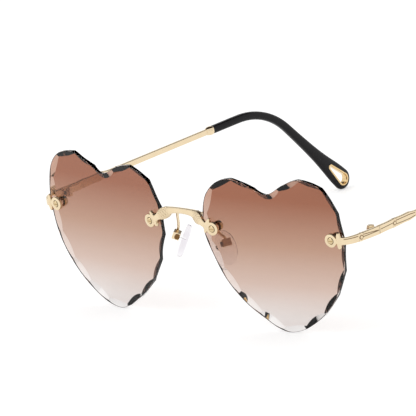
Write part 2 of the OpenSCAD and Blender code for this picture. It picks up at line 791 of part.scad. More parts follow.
// Collar between the strip and the sleeve, as shares of its length and of the sleeve
ferrule_shares = [[0, 0.5, 0.78], [0.3, 0.86, 0.98], [0.65, 1.1, 1.08], [0.9, 1.08, 1.07], [1, 1, 1]];
module ferrule() {
  placed() at_temple() translate([0, ferrule_at, 0])
    difference() {
      skin([
        for (s = ferrule_shares)
          ring([0, s[0] * ferrule_len, 0], [-1, 0, 0], [0, 0, 1], sleeve_t * s[1], sleeve_h * s[2],
               soft_share)
      ]);
      translate([0, -over, 0]) rotate([-90, 0, 0])
        cylinder(h = ferrule_len + 2 * over, r = core_d / 2 + fit, $fn = small_fn);
    }
}
module ferrule_left() {
  color(gold) ferrule();
}
module ferrule_right() {
  color(gold) other_side() ferrule();
}

// Tip: a sleeve over the core that widens to a paddle, by stations as shares of its
// length, of the paddle's width, and of the step from sleeve to paddle thickness
tip_from = ferrule_at + ferrule_len;
tip_shares = [
  [0, 0], [0.26, 0.01], [0.4, 0.02], [0.52, 0.04], [0.6, 0.08], [0.66, 0.13],
  [0.73, 0.22], [0.8, 0.36], [0.87, 0.6], [0.94, 0.88], [1, 1]
];
tip_steps = 3;
tip_end_steps = 7;
module at_tail() {
  placed() at_temple() translate([0, line_y(line_end), line_z(line_end)])
    rotate([90, 0, 90]) rotate([0, 0, 180 - drop_a])
      children();
}
// Drop outline, its wide end at the origin and its narrow end along X
drop_steps = 24;
module drop(wide_r, narrow_r) {
  lean = asin((wide_r - narrow_r) / drop_run);
  polygon(concat(
    [for (i = [0 : drop_steps])
      let (a = 90 - lean + (180 + 2 * lean) * i / drop_steps) wide_r * [cos(a), sin(a)]],
    [for (i = [0 : drop_steps])
      let (a = lean - 90 + (180 - 2 * lean) * i / drop_steps)
      [drop_run + narrow_r * cos(a), narrow_r * sin(a)]]));
}
module tip() {
  difference() {
    placed() at_temple()
      skin(concat(
        [for (s = spline(tip_shares, tip_steps))
          line_ring(tip_from + (line_end - tip_from) * s[0], 0,
                    sleeve_t + (paddle_t - sleeve_t) * s[1], sleeve_h + (paddle_w - sleeve_h) * s[1],
                    soft_share)],
        [for (i = [1 : tip_end_steps])
          let (a = 90 * i / (tip_end_steps + 0.5))
          line_ring(line_end, paddle_w / 2 * sin(a), paddle_t * rounded(cos(a), boxy_share),
                    paddle_w * cos(a), soft_share)]));
    placed() at_temple()
      along_line(tip_from - over, core_end + fit, core_d / 2 + fit);
    at_tail() linear_extrude(height = paddle_t + 2 * over, center = true)
      drop(drop_r + fit, drop_tip_r + fit);
  }
}
module tip_left() {
  color(black) tip();
}
module tip_right() {
  color(black) other_side() tip();
}
ring_proud = 0.15;
module tip_ring() {
  at_tail()
    difference() {
      linear_extrude(height = paddle_t + 2 * ring_proud, center = true) drop(drop_r, drop_tip_r);
      linear_extrude(height = paddle_t + 2 * over, center = true)
        drop(drop_r - drop_wall, drop_tip_r - drop_wall);
    }
}
module tip_ring_left() {
  color(gold) tip_ring();
}
module tip_ring_right() {
  color(gold) other_side() tip_ring();
}

lens_left();
lens_right();
bridge();
endpiece_left();
endpiece_right();
mount_screws();
mount_bushings();
front_washers();
rear_washers();
mount_nuts();
pad_arm_left();
pad_arm_right();
pad_box_left();
pad_box_right();
pad_screws();
pad_insert_left();
pad_insert_right();
nose_pad_left();
nose_pad_right();
front_hinge_left();
front_hinge_right();
hinge_screws();
temple_hinge_left();
temple_hinge_right();
temple_left();
temple_right();
ferrule_left();
ferrule_right();
tip_left();
tip_right();
tip_ring_left();
tip_ring_right();
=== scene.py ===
import json
import math

import bpy
import numpy as np
from mathutils import Matrix, Vector
from mathutils.geometry import tessellate_polygon


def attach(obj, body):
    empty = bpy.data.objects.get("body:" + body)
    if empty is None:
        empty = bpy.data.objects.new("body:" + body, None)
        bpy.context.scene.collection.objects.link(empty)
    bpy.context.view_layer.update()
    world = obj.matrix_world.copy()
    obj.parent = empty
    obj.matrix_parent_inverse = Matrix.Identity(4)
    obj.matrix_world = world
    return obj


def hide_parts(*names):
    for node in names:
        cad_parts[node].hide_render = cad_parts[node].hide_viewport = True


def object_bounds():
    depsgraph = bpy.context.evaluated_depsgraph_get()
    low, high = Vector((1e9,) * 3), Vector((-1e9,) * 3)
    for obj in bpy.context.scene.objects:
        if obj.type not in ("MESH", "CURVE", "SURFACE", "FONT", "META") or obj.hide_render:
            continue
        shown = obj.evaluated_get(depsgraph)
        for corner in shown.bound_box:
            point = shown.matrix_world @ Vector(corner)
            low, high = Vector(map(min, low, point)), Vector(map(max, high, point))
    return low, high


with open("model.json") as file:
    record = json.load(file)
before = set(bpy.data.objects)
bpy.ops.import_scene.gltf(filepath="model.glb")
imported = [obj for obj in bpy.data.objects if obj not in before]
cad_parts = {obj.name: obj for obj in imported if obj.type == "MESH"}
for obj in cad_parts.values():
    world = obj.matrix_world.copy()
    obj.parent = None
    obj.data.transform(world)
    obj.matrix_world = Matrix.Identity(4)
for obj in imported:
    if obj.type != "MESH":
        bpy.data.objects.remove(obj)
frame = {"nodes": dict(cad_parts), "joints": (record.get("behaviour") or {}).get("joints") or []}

bl_info = {
    "name": "Heart-shaped rimless sunglasses",
    "version": (1, 0, 0),
    "blender": (4, 5, 0),
    "location": "View3D > Sidebar > Sunglasses",
    "description": "Builds lenses, metalwork, nose pads, temples and studio on the frame",
    "category": "Object",
}

CAD_BOX = [list(corner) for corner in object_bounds()]
ANCHORS = {joint["name"]: joint["pos_m"] for joint in frame["joints"]}
SIDES = ("left", "right")
INWARD, UPWARD = np.array([-1.0, 0, 0]), np.array([0.0, 0, 1])

# Outline of a heart lens, as shares of its half width and half height, from the tip
# up the outer side, over the outer lobe, through the cleft and down the inner side
HEART_SHARES = np.array([
    [0.055, -1], [0.3, -0.925], [0.583, -0.72], [0.807, -0.45], [0.947, -0.147],
    [1, 0.195], [0.987, 0.47], [0.896, 0.773], [0.713, 0.953], [0.457, 1],
    [0.234, 0.918], [0.075, 0.82], [-0.025, 0.785], [-0.154, 0.822], [-0.319, 0.91],
    [-0.531, 0.952], [-0.737, 0.89], [-0.909, 0.712], [-0.99, 0.449], [-1, 0.221],
    [-0.926, -0.041], [-0.782, -0.376], [-0.551, -0.66], [-0.297, -0.853], [-0.12, -0.963],
])
# Bow across the neck of a mount plate, as shares of its half width and half height
BOW_SHARES = np.array([
    [-0.55, 0], [-0.8, 0.5], [-0.35, 1], [0.35, 1], [0.8, 0.5], [1, 0.3],
    [1, -0.3], [0.8, -0.5], [0.35, -1], [-0.35, -1], [-0.8, -0.5],
])
# Painted shade on the rows of a mount plate's disc, from its rear face to its recess: how dark
# each row is
RECESS_PAINTED_SHADE = np.array([0, 0, 0, 0, 0, 0, 0, 0.8, 1, 1])
# Painted shade on the rows of a bead, from its foot to its top: how dark each row is
BEAD_PAINTED_SHADE = np.array([1, 1, 1, 0.9, 0.4, 0, 0, 0, 0])
# Bridge bar from plate to middle: shares of the plate's distance from the middle, of the
# rise and of the set-back, then of the knob's height and of its depth
BAR_SHARES = np.array([
    [0.865, 0.13, -0.2, 0.48, 0.5], [0.79, 0.24, -0.5, 0.5, 0.5], [0.7, 0.42, -0.5, 0.58, 0.6],
    [0.62, 0.56, -0.1, 0.88, 0.82], [0.545, 0.68, 0.45, 1, 1], [0.47, 0.79, 0.85, 0.92, 0.95],
    [0.39, 0.89, 1, 0.68, 0.78], [0.3, 0.95, 1, 0.56, 0.7], [0.15, 0.99, 1, 0.5, 0.66],
    [0, 1, 1, 0.48, 0.66],
])
# Pad arm from the bar to the pad box, as shares of its run outwards, backwards and down
WIRE_SHARES = np.array([
    [0, 0, 0], [0.02, 0.24, 0.015], [0.1, 0.5, 0.13], [0.26, 0.62, 0.35], [0.5, 0.79, 0.63],
    [0.72, 0.91, 0.82], [0.91, 0.985, 0.92], [1, 1, 1],
])
# Root of a pad arm: shares of the plate's distance from the middle, of the bar's set-back,
# of the knob's depth and of the bar's rise
ROOT_SHARES = (0.45, 0.9, 0.44, 0.82)
# Leaf at the front of a temple: shares of its run and of the strip's height
LEAF_SHARES = np.array([
    [0, 1], [0.25, 0.96], [0.5, 1.03], [0.75, 0.96], [0.95, 1], [1.06, 0.82],
])
# Collar before the sleeve: shares of its length, of the sleeve's thickness and height
FERRULE_SHARES = np.array([
    [0, 0.5, 0.78], [0.3, 0.86, 0.98], [0.65, 1.1, 1.08], [0.9, 1.08, 1.07], [1, 1, 1],
])
# Sleeve and paddle: shares of their length and of the step from sleeve to paddle
TIP_SHARES = np.array([
    [0, 0], [0.26, 0.01], [0.4, 0.02], [0.52, 0.04], [0.6, 0.08], [0.66, 0.13],
    [0.73, 0.22], [0.8, 0.36], [0.87, 0.6], [0.94, 0.88], [1, 1],
])


# Settings

def length(name, text, metres):
    return bpy.props.FloatProperty(name=name, description=text, default=metres,
                                   precision=5, unit="LENGTH")


def angle(name, text, degrees):
    return bpy.props.FloatProperty(name=name, description=text,
                                   default=math.radians(degrees), subtype="ANGLE")


def share(name, text, value):
    return bpy.props.FloatProperty(name=name, description=text, default=value,
                                   min=0, max=200, subtype="FACTOR")


def count(name, text, number):
    return bpy.props.IntProperty(name=name, description=text, default=number, min=3)


def numbers(name, text, values, subtype="NONE"):
    return bpy.props.FloatVectorProperty(name=name, description=text, size=len(values),
                                         default=values, subtype=subtype)


def colour(name, text, red, green, blue):
    """A colour given as it shows on a display, from 0 to 255, kept as scene-linear light."""
    shown = np.array([red, green, blue]) / 255
    light = np.where(shown <= 0.04045, shown / 12.92, ((shown + 0.055) / 1.055) ** 2.4)
    return numbers(name, text, light.tolist(), "COLOR")


class LensSizes(bpy.types.PropertyGroup):
    width: length("Width", "Width of a lens across its widest place", 0.0565)
    height: length("Height", "Height of a lens", 0.0535)
    thickness: length("Thickness", "Thickness of a lens", 0.0022)
    gap: length("Gap", "Gap between the two lenses", 0.0187)
    wrap: angle("Wrap", "How far a lens is turned back at its outer side", 6)
    lean: angle("Lean", "How far the lower ends lean towards the face", 4.1)
    facets: count("Facets", "Facets ground round the rear edge of a lens", 18)
    facet_from: length("First facet", "First facet's middle from the tip", 0.001)
    facet_corner: length("Facet corner", "Reach of the corners between facets", 0.0009)
    facet_in: length("Facet reach", "How far in a facet reaches on the rear face", 0.002)
    land: length("Edge land", "Plain edge left in front of the facets", 0.0009)
    edge: length("Edge break", "Width of the polished edge break", 0.00014)


class MountSizes(bpy.types.PropertyGroup):
    outer_inset: length("Outer inset", "Outer hole from the lens's widest place", 0.004)
    inner_inset: length("Inner inset", "Inner hole from the lens's widest place", 0.0044)
    outer_up: length("Outer height", "Outer hole above the middle of the lens", 0.0072)
    inner_up: length("Inner height", "Inner hole above the middle of the lens", 0.008)
    hole: length("Hole", "Diameter of the hole through a lens", 0.0024)
    disc: length("Disc", "Diameter of the round plate", 0.0046)
    plate: length("Plate", "Thickness of the plates", 0.0011)
    washer: length("Washer", "Thickness of the clear washers", 0.00035)
    recess: length("Recess", "Radius of the recess round the screw head", 0.00117)
    recess_deep: length("Recess depth", "Depth of that recess", 0.0005)
    bore: length("Bore", "Radius of the bore for the screw", 0.00072)
    bow_high: length("Bow height", "Half height of the bow on a plate", 0.00265)
    bow_wide: length("Bow width", "Half width of the bow on a plate", 0.00095)
    inner_bow: length("Inner bow", "Inner bow from the middle of its disc", 0.0022)
    outer_bow: length("Outer bow", "Outer bow from the middle of its disc", 0.0031)
    neck: length("Neck", "Height of the neck between disc and bow", 0.0019)
    turn: angle("Plate turn", "Turn of an inner plate from outwards to its neck", 155)


class BridgeSizes(bpy.types.PropertyGroup):
    rise: length("Rise", "Rise of the bar above its plates", 0.0045)
    back: length("Set-back", "How far the bar's middle stands behind its plates", 0.0008)
    knob_high: length("Knob height", "Height of the knob at each end of the bar", 0.004)
    knob_deep: length("Knob depth", "Depth of the knob, front to back", 0.0022)
    square: share("Squareness", "Power of the bar's section, less for a boxier one", 0.45)
    mill: length("Milling", "Depth of the milled pattern on the knobs", 0.00005)
    pitch: length("Milling pitch", "Distance between the milled lines", 0.0009)


class PadSizes(bpy.types.PropertyGroup):
    behind: length("Behind", "Pad screw behind the middle between the lenses", 0.0043)
    long: length("Length", "Length of a nose pad", 0.012)
    wide: length("Width", "Width of a nose pad", 0.007)
    thick: length("Thickness", "Thickness of a nose pad at its middle", 0.0023)
    off: length("Offset", "Middle of a pad from its screw, towards the nose", 0.0024)
    low: length("Drop", "Middle of a pad below its screw", 0.0012)
    front: share("Face share", "Share of the thickness on the side of the nose", 0.65)
    full: share("Fullness", "Power of the edge's curve, less for a fuller edge", 0.5)
    splay: angle("Splay", "How far a pad is turned to face the rear", 32)
    tilt: angle("Tilt", "How far the top leans to the nose", 24)
    lean: angle("Lean", "How far the top leans to the rear", 8)
    wire: length("Wire", "Diameter of the pad arm", 0.001)
    deep: length("Root depth", "How far the arm goes into the bar", 0.0007)
    land: length("Arm end", "Arm's end out from the pad screw", 0.0006)
    box_high: length("Box", "Half height of the pad box", 0.00125)
    tab: length("Tab", "Thickness of the pad's tab in its box", 0.0006)


class TempleSizes(bpy.types.PropertyGroup):
    arm_from: length("Arm start", "Start of an endpiece's arm from the hole", 0.0026)
    arm_out: length("Arm run", "How far the arm starts straight outwards", 0.0046)
    arm_back: length("Arm return", "How far the arm ends straight backwards", 0.0085)
    arm_high: length("Arm height", "Height of the arm where it starts", 0.0024)
    corner: length("Corner", "Hinge to the corner of the bend", 0.0983)
    drop: angle("Drop", "How far the tail turns down", 47)
    radius: length("Bend", "Radius of the bend", 0.0315)
    toe: angle("Toe-in", "How far a temple leans inwards", 0.9)
    climb: angle("Climb", "How far the line climbs to the bend", 2)
    high: length("Height", "Height of the strip by the hinge", 0.0029)
    slim: length("Slim height", "Height of the strip behind its leaf", 0.002)
    thick: length("Thickness", "Thickness of the strip", 0.0012)
    edge: share("Strip edge", "Round edges of the strip, as a share of it", 0.22)
    inside: length("Inner face", "Inner face of the strip from the hinge axis", 0.00137)
    seam: length("Seam", "Seam of endpiece and temple, behind the hinge", 0.0016)
    seam_gap: length("Seam gap", "Gap at that seam", 0.00015)
    leaf: length("Leaf", "Length of the leaf-shaped front", 0.016)
    collar_at: length("Endpiece collar", "Collar in front of the hinge", 0.0069)
    collar: length("Collar", "Width of a slanted collar", 0.0011)
    bead: length("Bead", "Radius of the bead on a collar", 0.0006)
    proud: length("Collar height", "How far a collar's bead stands proud", 0.00015)
    slant: angle("Collar slant", "Slant of the collars", 18)
    knots: numbers("Knots", "Places of the two collars along the leaf", (0.47, 1.42))
    ferrule_at: length("Ferrule", "Hinge to the collar before the sleeve", 0.0686)
    ferrule: length("Ferrule length", "Length of that collar", 0.0029)
    core: length("Core", "Diameter of the core wire", 0.0011)
    core_root: length("Core root", "How far the core starts inside the strip", 0.0005)
    groove: length("Groove depth", "Depth of the engraved lines", 0.00016)
    groove_wide: length("Groove width", "Half width of the engraved lines", 0.00012)
    line_from: length("Line start", "Start of the arm's line before the seam", 0.0145)
    line_short: length("Line gap", "Gap of the arm's line before its collar", 0.0012)
    line_off: length("Collar gap", "Gap of other lines beside a collar", 0.0006)
    line_near: length("Leaf gap", "Gap of the leaf's lines behind its collar", 0.0005)
    line_run: length("Line rise", "Where the leaf's lines have spread", 0.004)
    line_seam: length("Seam edge", "Gap of the arm's lines before the seam", 0.0003)
    line_leaf: length("Leaf edge", "Gap of the leaf's line behind the seam", 0.0002)
    sleeve_high: length("Sleeve height", "Height of the sleeve at its start", 0.0028)
    sleeve_thick: length("Sleeve thickness", "Thickness of the sleeve there", 0.0026)
    square: share("Squareness", "Power of the sleeve's section, less for boxier", 0.75)
    core_share: share("Core share", "Share of the tail that the core reaches down", 0.6)
    paddle: length("Paddle", "Width of the paddle", 0.0074)
    paddle_thick: length("Paddle thickness", "Thickness of the paddle", 0.0024)
    ring_wide: length("Ring, wide end", "Outer radius of the ring's wide end", 0.0024)
    ring_slim: length("Ring, narrow end", "Outer radius of its narrow end", 0.0011)
    ring_run: length("Ring length", "Distance between the ring's round ends", 0.0082)
    ring_wall: length("Ring wall", "Wall of the drop ring", 0.00075)
    ring_proud: length("Ring height", "How far the ring stands proud", 0.00015)


class Finishes(bpy.types.PropertyGroup):
    tint_top: colour("Tint, top", "Lens tint at the top", 159, 102, 77)
    tint_high: colour("Tint, upper", "Lens tint above the middle", 189, 152, 131)
    tint_low: colour("Tint, lower", "Lens tint below the middle", 214, 191, 179)
    tint_foot: colour("Tint, foot", "Lens tint at the bottom", 236, 232, 230)
    ground_off: share("Ground clear", "Share of the tint that grinding takes off", 0.85)
    resin: colour("Resin", "What the body of the resin lets through", 160, 118, 97)
    resin_dense: share("Resin density", "Loss of light in the resin, per metre", 55)
    lens_index: share("Lens index", "Refractive index of the lens resin", 1.5)
    gold: colour("Gold", "Pale gold plating", 236, 218, 186)
    gold_deep: colour("Deep gold", "Plating where it is thicker", 221, 199, 162)
    hinge_gold: colour("Hinge gold", "Lighter, softer plating of the hinges", 252, 238, 210)
    # Painted shade: the pad screws are darkened all over so that they read as a shaded hollow
    pad_screw_shade: colour("Pad screw", "Darker plating of the pad screws", 122, 92, 58)
    screw_gold: colour("Screw gold", "Plating of screws and nuts", 206, 184, 142)
    # Painted shade: the dark that the plating takes on in grooves, recesses, beside collars,
    # round beads and in milled troughs
    engraved: colour("Engraved lines", "Dark that lies in engraved lines", 112, 78, 44)
    ring_gold: colour("Ring gold", "Warmer gold of the drop rings", 234, 201, 142)
    black: colour("Sleeve black", "Black of the sleeves", 22, 21, 23)
    clear: colour("Clear", "Cast of the clear soft plastic", 200, 190, 202)
    clear_index: share("Clear index", "Refractive index of the clear plastic", 1.12)
    clear_dense: share("Clear density", "Loss of light in the clear plastic, per metre", 75)


class StudioSettings(bpy.types.PropertyGroup):
    azimuth: angle("Azimuth", "Camera's turn round the object", 44.081)
    elevation: angle("Elevation", "Camera's height over the horizon", 14.688)
    roll: angle("Roll", "Turn of the picture", 6.181)
    distance: length("Distance", "Camera to the middle between the lenses", 2.72946)
    focal: bpy.props.FloatProperty(name="Focal length", description="Lens of the camera",
                                   default=716.4, unit="CAMERA")
    aim_right: length("Aim right", "Picture's middle right of that middle", 0.004547)
    aim_up: length("Aim up", "Picture's middle above that middle", 0.011462)
    floor: length("Floor", "Side of the floor", 6)
    floor_matt: share("Floor shade", "Share of light that the floor scatters", 0.8)
    floor_glow: share("Floor glow", "Light that the floor shows by itself", 0.46)
    softbox: share("Softbox", "Power of the large softbox", 5)
    box_wide: length("Softbox width", "Width of the softbox", 1.2)
    box_high: length("Softbox height", "Height of the softbox", 0.8)
    box_at: numbers("Softbox place", "Middle of the softbox", (-0.5, -0.9, 1.5), "XYZ")
    fill: share("Fill", "Strength of the light from all round", 0.72)
    card_way: numbers("Card direction", "Where the dark card hangs", (-0.15, 0.35, 0.92),
                      "DIRECTION")
    card_far: length("Card distance", "Distance of the dark card", 1.15)
    card_size: length("Card size", "Side of the dark card", 1.8)
    card: colour("Card", "Colour of the dark card", 70, 55, 50)
    backdrop: colour("Backdrop", "Colour of floor and backdrop", 255, 255, 255)


GROUPS = {
    "glasses_lens": LensSizes,
    "glasses_mount": MountSizes,
    "glasses_bridge": BridgeSizes,
    "glasses_pad": PadSizes,
    "glasses_temple": TempleSizes,
    "glasses_finish": Finishes,
    "glasses_studio": StudioSettings,
}


# Places

def turned(axis, radians):
    return Matrix.Rotation(radians, 4, axis)


def moved(x, y, z):
    return Matrix.Translation((x, y, z))


def put(points, matrix):
    """Points as they stand once a matrix has moved them."""
    m = np.array(matrix)
    return points @ m[:3, :3].T + m[:3, 3]


def lens_middle(scene):
    """The point midway between the two lens centres: half a leaning lens up, and in front
    of the pad screws."""
    lens = scene.glasses_lens
    up = lens.height / 2 * math.cos(lens.lean) + lens.thickness / 2 * math.sin(lens.lean)
    return Vector((0, ANCHORS["pad_left_rock"][1] - scene.glasses_pad.behind, up))


def at_hole(scene, inner):
    """From the axes of a lens's outer or inner hole, which point outwards, up and to the
    front, to its place on the left lens."""
    u, v = hole_places(scene)[inner]
    return at_lens(scene) @ moved(u, v, 0)


def at_lens(scene):
    """From a lens's own axes, across, up and to the front, to the left lens's place."""
    lens = scene.glasses_lens
    out = lens.gap / 2 + lens.width / 2 * math.cos(lens.wrap)
    return (Matrix.Translation(lens_middle(scene)) @ turned("X", lens.lean)
            @ moved(out, 0, 0) @ turned("Z", lens.wrap) @ turned("X", math.pi / 2))


def hole_places(scene):
    """Outer and inner hole of a lens, in the lens's own axes."""
    half, mount = scene.glasses_lens.width / 2, scene.glasses_mount
    return np.array([[half - mount.outer_inset, mount.outer_up],
                     [mount.inner_inset - half, mount.inner_up]])


def plate_point(scene, inner, across=0.0):
    """Point halfway through the plate at a lens's hole, so far across from the hole."""
    lens, mount = scene.glasses_lens, scene.glasses_mount
    high = lens.thickness / 2 + mount.washer + mount.plate / 2
    return np.array(at_hole(scene, inner) @ Vector((across, 0, high)))


def at_temple(scene):
    """From a temple's own axes, whose Y points along its line, to the left one's place."""
    temple = scene.glasses_temple
    x, y, z = ANCHORS["temple_left_fold"]
    return (moved(x, y, z) @ turned("Z", temple.toe) @ turned("X", temple.climb)
            @ moved(temple.inside + temple.thick / 2, 0, 0))


def at_pad(scene):
    """From a pad's own axes, away from the nose, along the screw and up, to its place."""
    pad = scene.glasses_pad
    x, y, z = ANCHORS["pad_left_rock"]
    return (moved(x, y, z) @ turned("Y", -pad.tilt) @ turned("X", -pad.lean)
            @ turned("Z", -pad.splay))


# Curves and surfaces

def smooth(rows, steps, closed=False):
    """Smooth curve through rows: each stretch is the cubic whose slope at a row is half
    the step between that row's neighbours."""
    n = len(rows)
    near = np.arange(-1, 3)
    if closed:
        index = (np.arange(n)[:, None] + near) % n
    else:
        index = np.clip(np.arange(n - 1)[:, None] + near, 0, n - 1)
    a, b, c, d = (rows[index[:, k]][:, None] for k in range(4))
    t = (np.arange(steps) / steps)[None, :, None]
    curve = (b + (c - a) * t / 2 + (2 * a - 5 * b + 4 * c - d) * t ** 2 / 2
             + (3 * b - 3 * c + d - a) * t ** 3 / 2).reshape(-1, rows.shape[1])
    return curve if closed else np.vstack([curve, rows[-1]])


def points_at(x, y, z):
    """Points from three coordinates, of which any may be one number for all points."""
    return np.stack(np.broadcast_arrays(x, y, z), -1)


def full_turn(steps):
    """Angles once round, in even steps."""
    return 2 * np.pi * np.arange(steps) / steps


def unit(v):
    """Directions of length one."""
    return v / np.linalg.norm(v, axis=-1, keepdims=True)


def runs_along(line):
    """Length of a line up to each of its points."""
    steps = np.linalg.norm(np.diff(line, axis=0), axis=1)
    return np.concatenate([[0], np.cumsum(steps)])


def rounded(value, power):
    """A value's size raised to a power, with the value's own sign."""
    return np.sign(value) * np.abs(value) ** power


def spread(middle, side, up, across, rise):
    """Ring of points round each middle, so far along side and so far along up."""
    return (middle[:, None] + np.atleast_2d(side)[:, None] * across[..., None]
            + np.atleast_2d(up)[:, None] * rise[..., None])


def oblong_rings(middle, side, up, width, height, power, sides=64):
    """Rings round each middle: side times half the width times the cosine, and up times
    half the height times the sine, both raised to a power that makes the ring boxier."""
    a = full_turn(sides)
    across = np.reshape(width, (-1, 1)) / 2 * rounded(np.cos(a), power)
    rise = np.reshape(height, (-1, 1)) / 2 * rounded(np.sin(a), power)
    return spread(middle, side, up, across, rise)


def slab_profile(face_points=41, corner_points=6):
    """A rectangle with round corners as four arrays: signs of the corner middles across
    and up, and the way out from them. It is a quarter, a corner and the side after it
    as complex numbers, turned by right angles."""
    turn = np.linspace(0, np.pi / 2, corner_points)
    run = np.linspace(1, -1, face_points)[1:-1]
    sides = np.concatenate([np.full(corner_points, 1 + 1j), run + 1j])
    outs = np.concatenate([np.exp(1j * turn), np.full(len(run), 1j)])
    quarters = np.array([[1], [1j], [-1], [-1j]])
    sides, outs = (quarters * sides).ravel(), (quarters * outs).ravel()
    return sides.real, sides.imag, outs.real, outs.imag


def slab_rings(middle, side, up, width, height, corner, sink=0.0):
    """Rings of the rounded rectangle round each middle. sink moves each point along side,
    by an array of rings by points."""
    sx, sy, ox, oy = slab_profile()
    across = (np.reshape(width, (-1, 1)) / 2 - corner) * sx + corner * ox + sink
    rise = (np.reshape(height, (-1, 1)) / 2 - corner) * sy + corner * oy
    return spread(middle, side, up, across, rise)


def tube(rings, closed=False, caps=True):
    """Quads between rings, and a flat face over each open end."""
    m, n = rings.shape[:2]
    k = np.arange(m * n).reshape(m, n)
    a, b = (k, np.roll(k, -1, 0)) if closed else (k[:-1], k[1:])
    quads = np.stack([a, np.roll(a, -1, 1), np.roll(b, -1, 1), b], -1).reshape(-1, 4).tolist()
    if caps and not closed:
        quads += [k[0, ::-1].tolist(), k[-1].tolist()]
    return rings.reshape(-1, 3), quads


def solid(rings, place=Matrix(), dark=None, closed=False):
    """Closed shell over rings, in place: points, faces that face outwards because they
    are turned where the volume of their corner fans is negative, and how much painted
    shade lies on each point."""
    points, faces = tube(rings, closed)
    tri = np.array([[f[0], f[i], f[i + 1]] for f in faces for i in range(1, len(f) - 1)])
    a, b, c = (points[tri[:, k]] for k in range(3))
    if np.einsum("ij,ij->i", a, np.cross(b, c)).sum() < 0:
        faces = [face[::-1] for face in faces]
    return put(points, place), faces, dark


def lathe(profile, turns=64):
    """Rings of a closed profile of radius and height, turned round the Z axis."""
    a = full_turn(turns)[:, None]
    r, z = profile.T
    return points_at(r * np.cos(a), r * np.sin(a), z)


def on_side(shells, side):
    """The left side's shells, or their mirror images with their faces turned."""
    if side == "left":
        return shells
    return [(p * (-1, 1, 1), [face[::-1] for face in f], dark) for p, f, dark in shells]


def mesh_piece(name, shells, paint=None, sharp=32.0, ground=None):
    """One object from shells in place. Edges that turn by more than sharp degrees stay
    sharp, and ground marks the faces that are ground clear."""
    points, faces, dark = [], [], []
    start = 0
    for p, f, engraved in shells:
        points.append(p)
        faces += [[i + start for i in face] for face in f]
        dark.append(np.zeros(len(p)) if engraved is None else engraved)
        start += len(p)
    mesh = bpy.data.meshes.new(name)
    mesh.from_pydata(np.vstack(points).tolist(), [], faces)
    mesh.polygons.foreach_set("use_smooth", np.ones(len(faces), bool))
    if paint:
        mesh.materials.append(material(paint))
    if ground:
        marks = mesh.attributes.new("ground", "FLOAT", "FACE")
        marks.data.foreach_set("value", np.array(ground, np.float32))
    # The engraved mark holds the painted shade of each point
    if any(engraved is not None for p, f, engraved in shells):
        lines = mesh.attributes.new("engraved", "FLOAT", "POINT")
        lines.data.foreach_set("value", np.concatenate(dark).astype(np.float32))
    mesh.set_sharp_from_angle(angle=math.radians(sharp))
    mesh.update()
    piece = bpy.data.objects.new(name, mesh)
    bpy.context.scene.collection.objects.link(piece)
    return piece


def settle(piece, body, slot, *nodes):
    """The piece rides on its body and stands for its nodes; its slot is not used."""
    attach(piece, body)
    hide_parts(*nodes)


def both_sides(shells, stem, paint, body, nodes, slot, sharp=32.0, ground=None):
    """A left piece and its mirror image, each in place of its own nodes."""
    for side in SIDES:
        piece = mesh_piece(f"{stem}_{side}", on_side(shells, side), paint, sharp, ground)
        settle(piece, body.format(side), slot, *[node.format(side) for node in nodes])


# Materials

class Signal:
    """A socket that Python's operators turn into Math nodes."""

    def __init__(self, recipe, socket):
        self.recipe, self.socket = recipe, socket

    def math(self, operation, first, second):
        return Signal(self.recipe, self.recipe.out(
            "ShaderNodeMath", {"operation": operation}, {0: first, 1: second}))

    def __add__(self, other):
        return self.math("ADD", self, other)

    def __mul__(self, other):
        return self.math("MULTIPLY", self, other)

    def __rsub__(self, other):
        return self.math("SUBTRACT", other, self)

    def __truediv__(self, other):
        return self.math("DIVIDE", self, other)

    def at_least(self, other):
        return self.math("MAXIMUM", self, other)

    __radd__, __rmul__ = __add__, __mul__


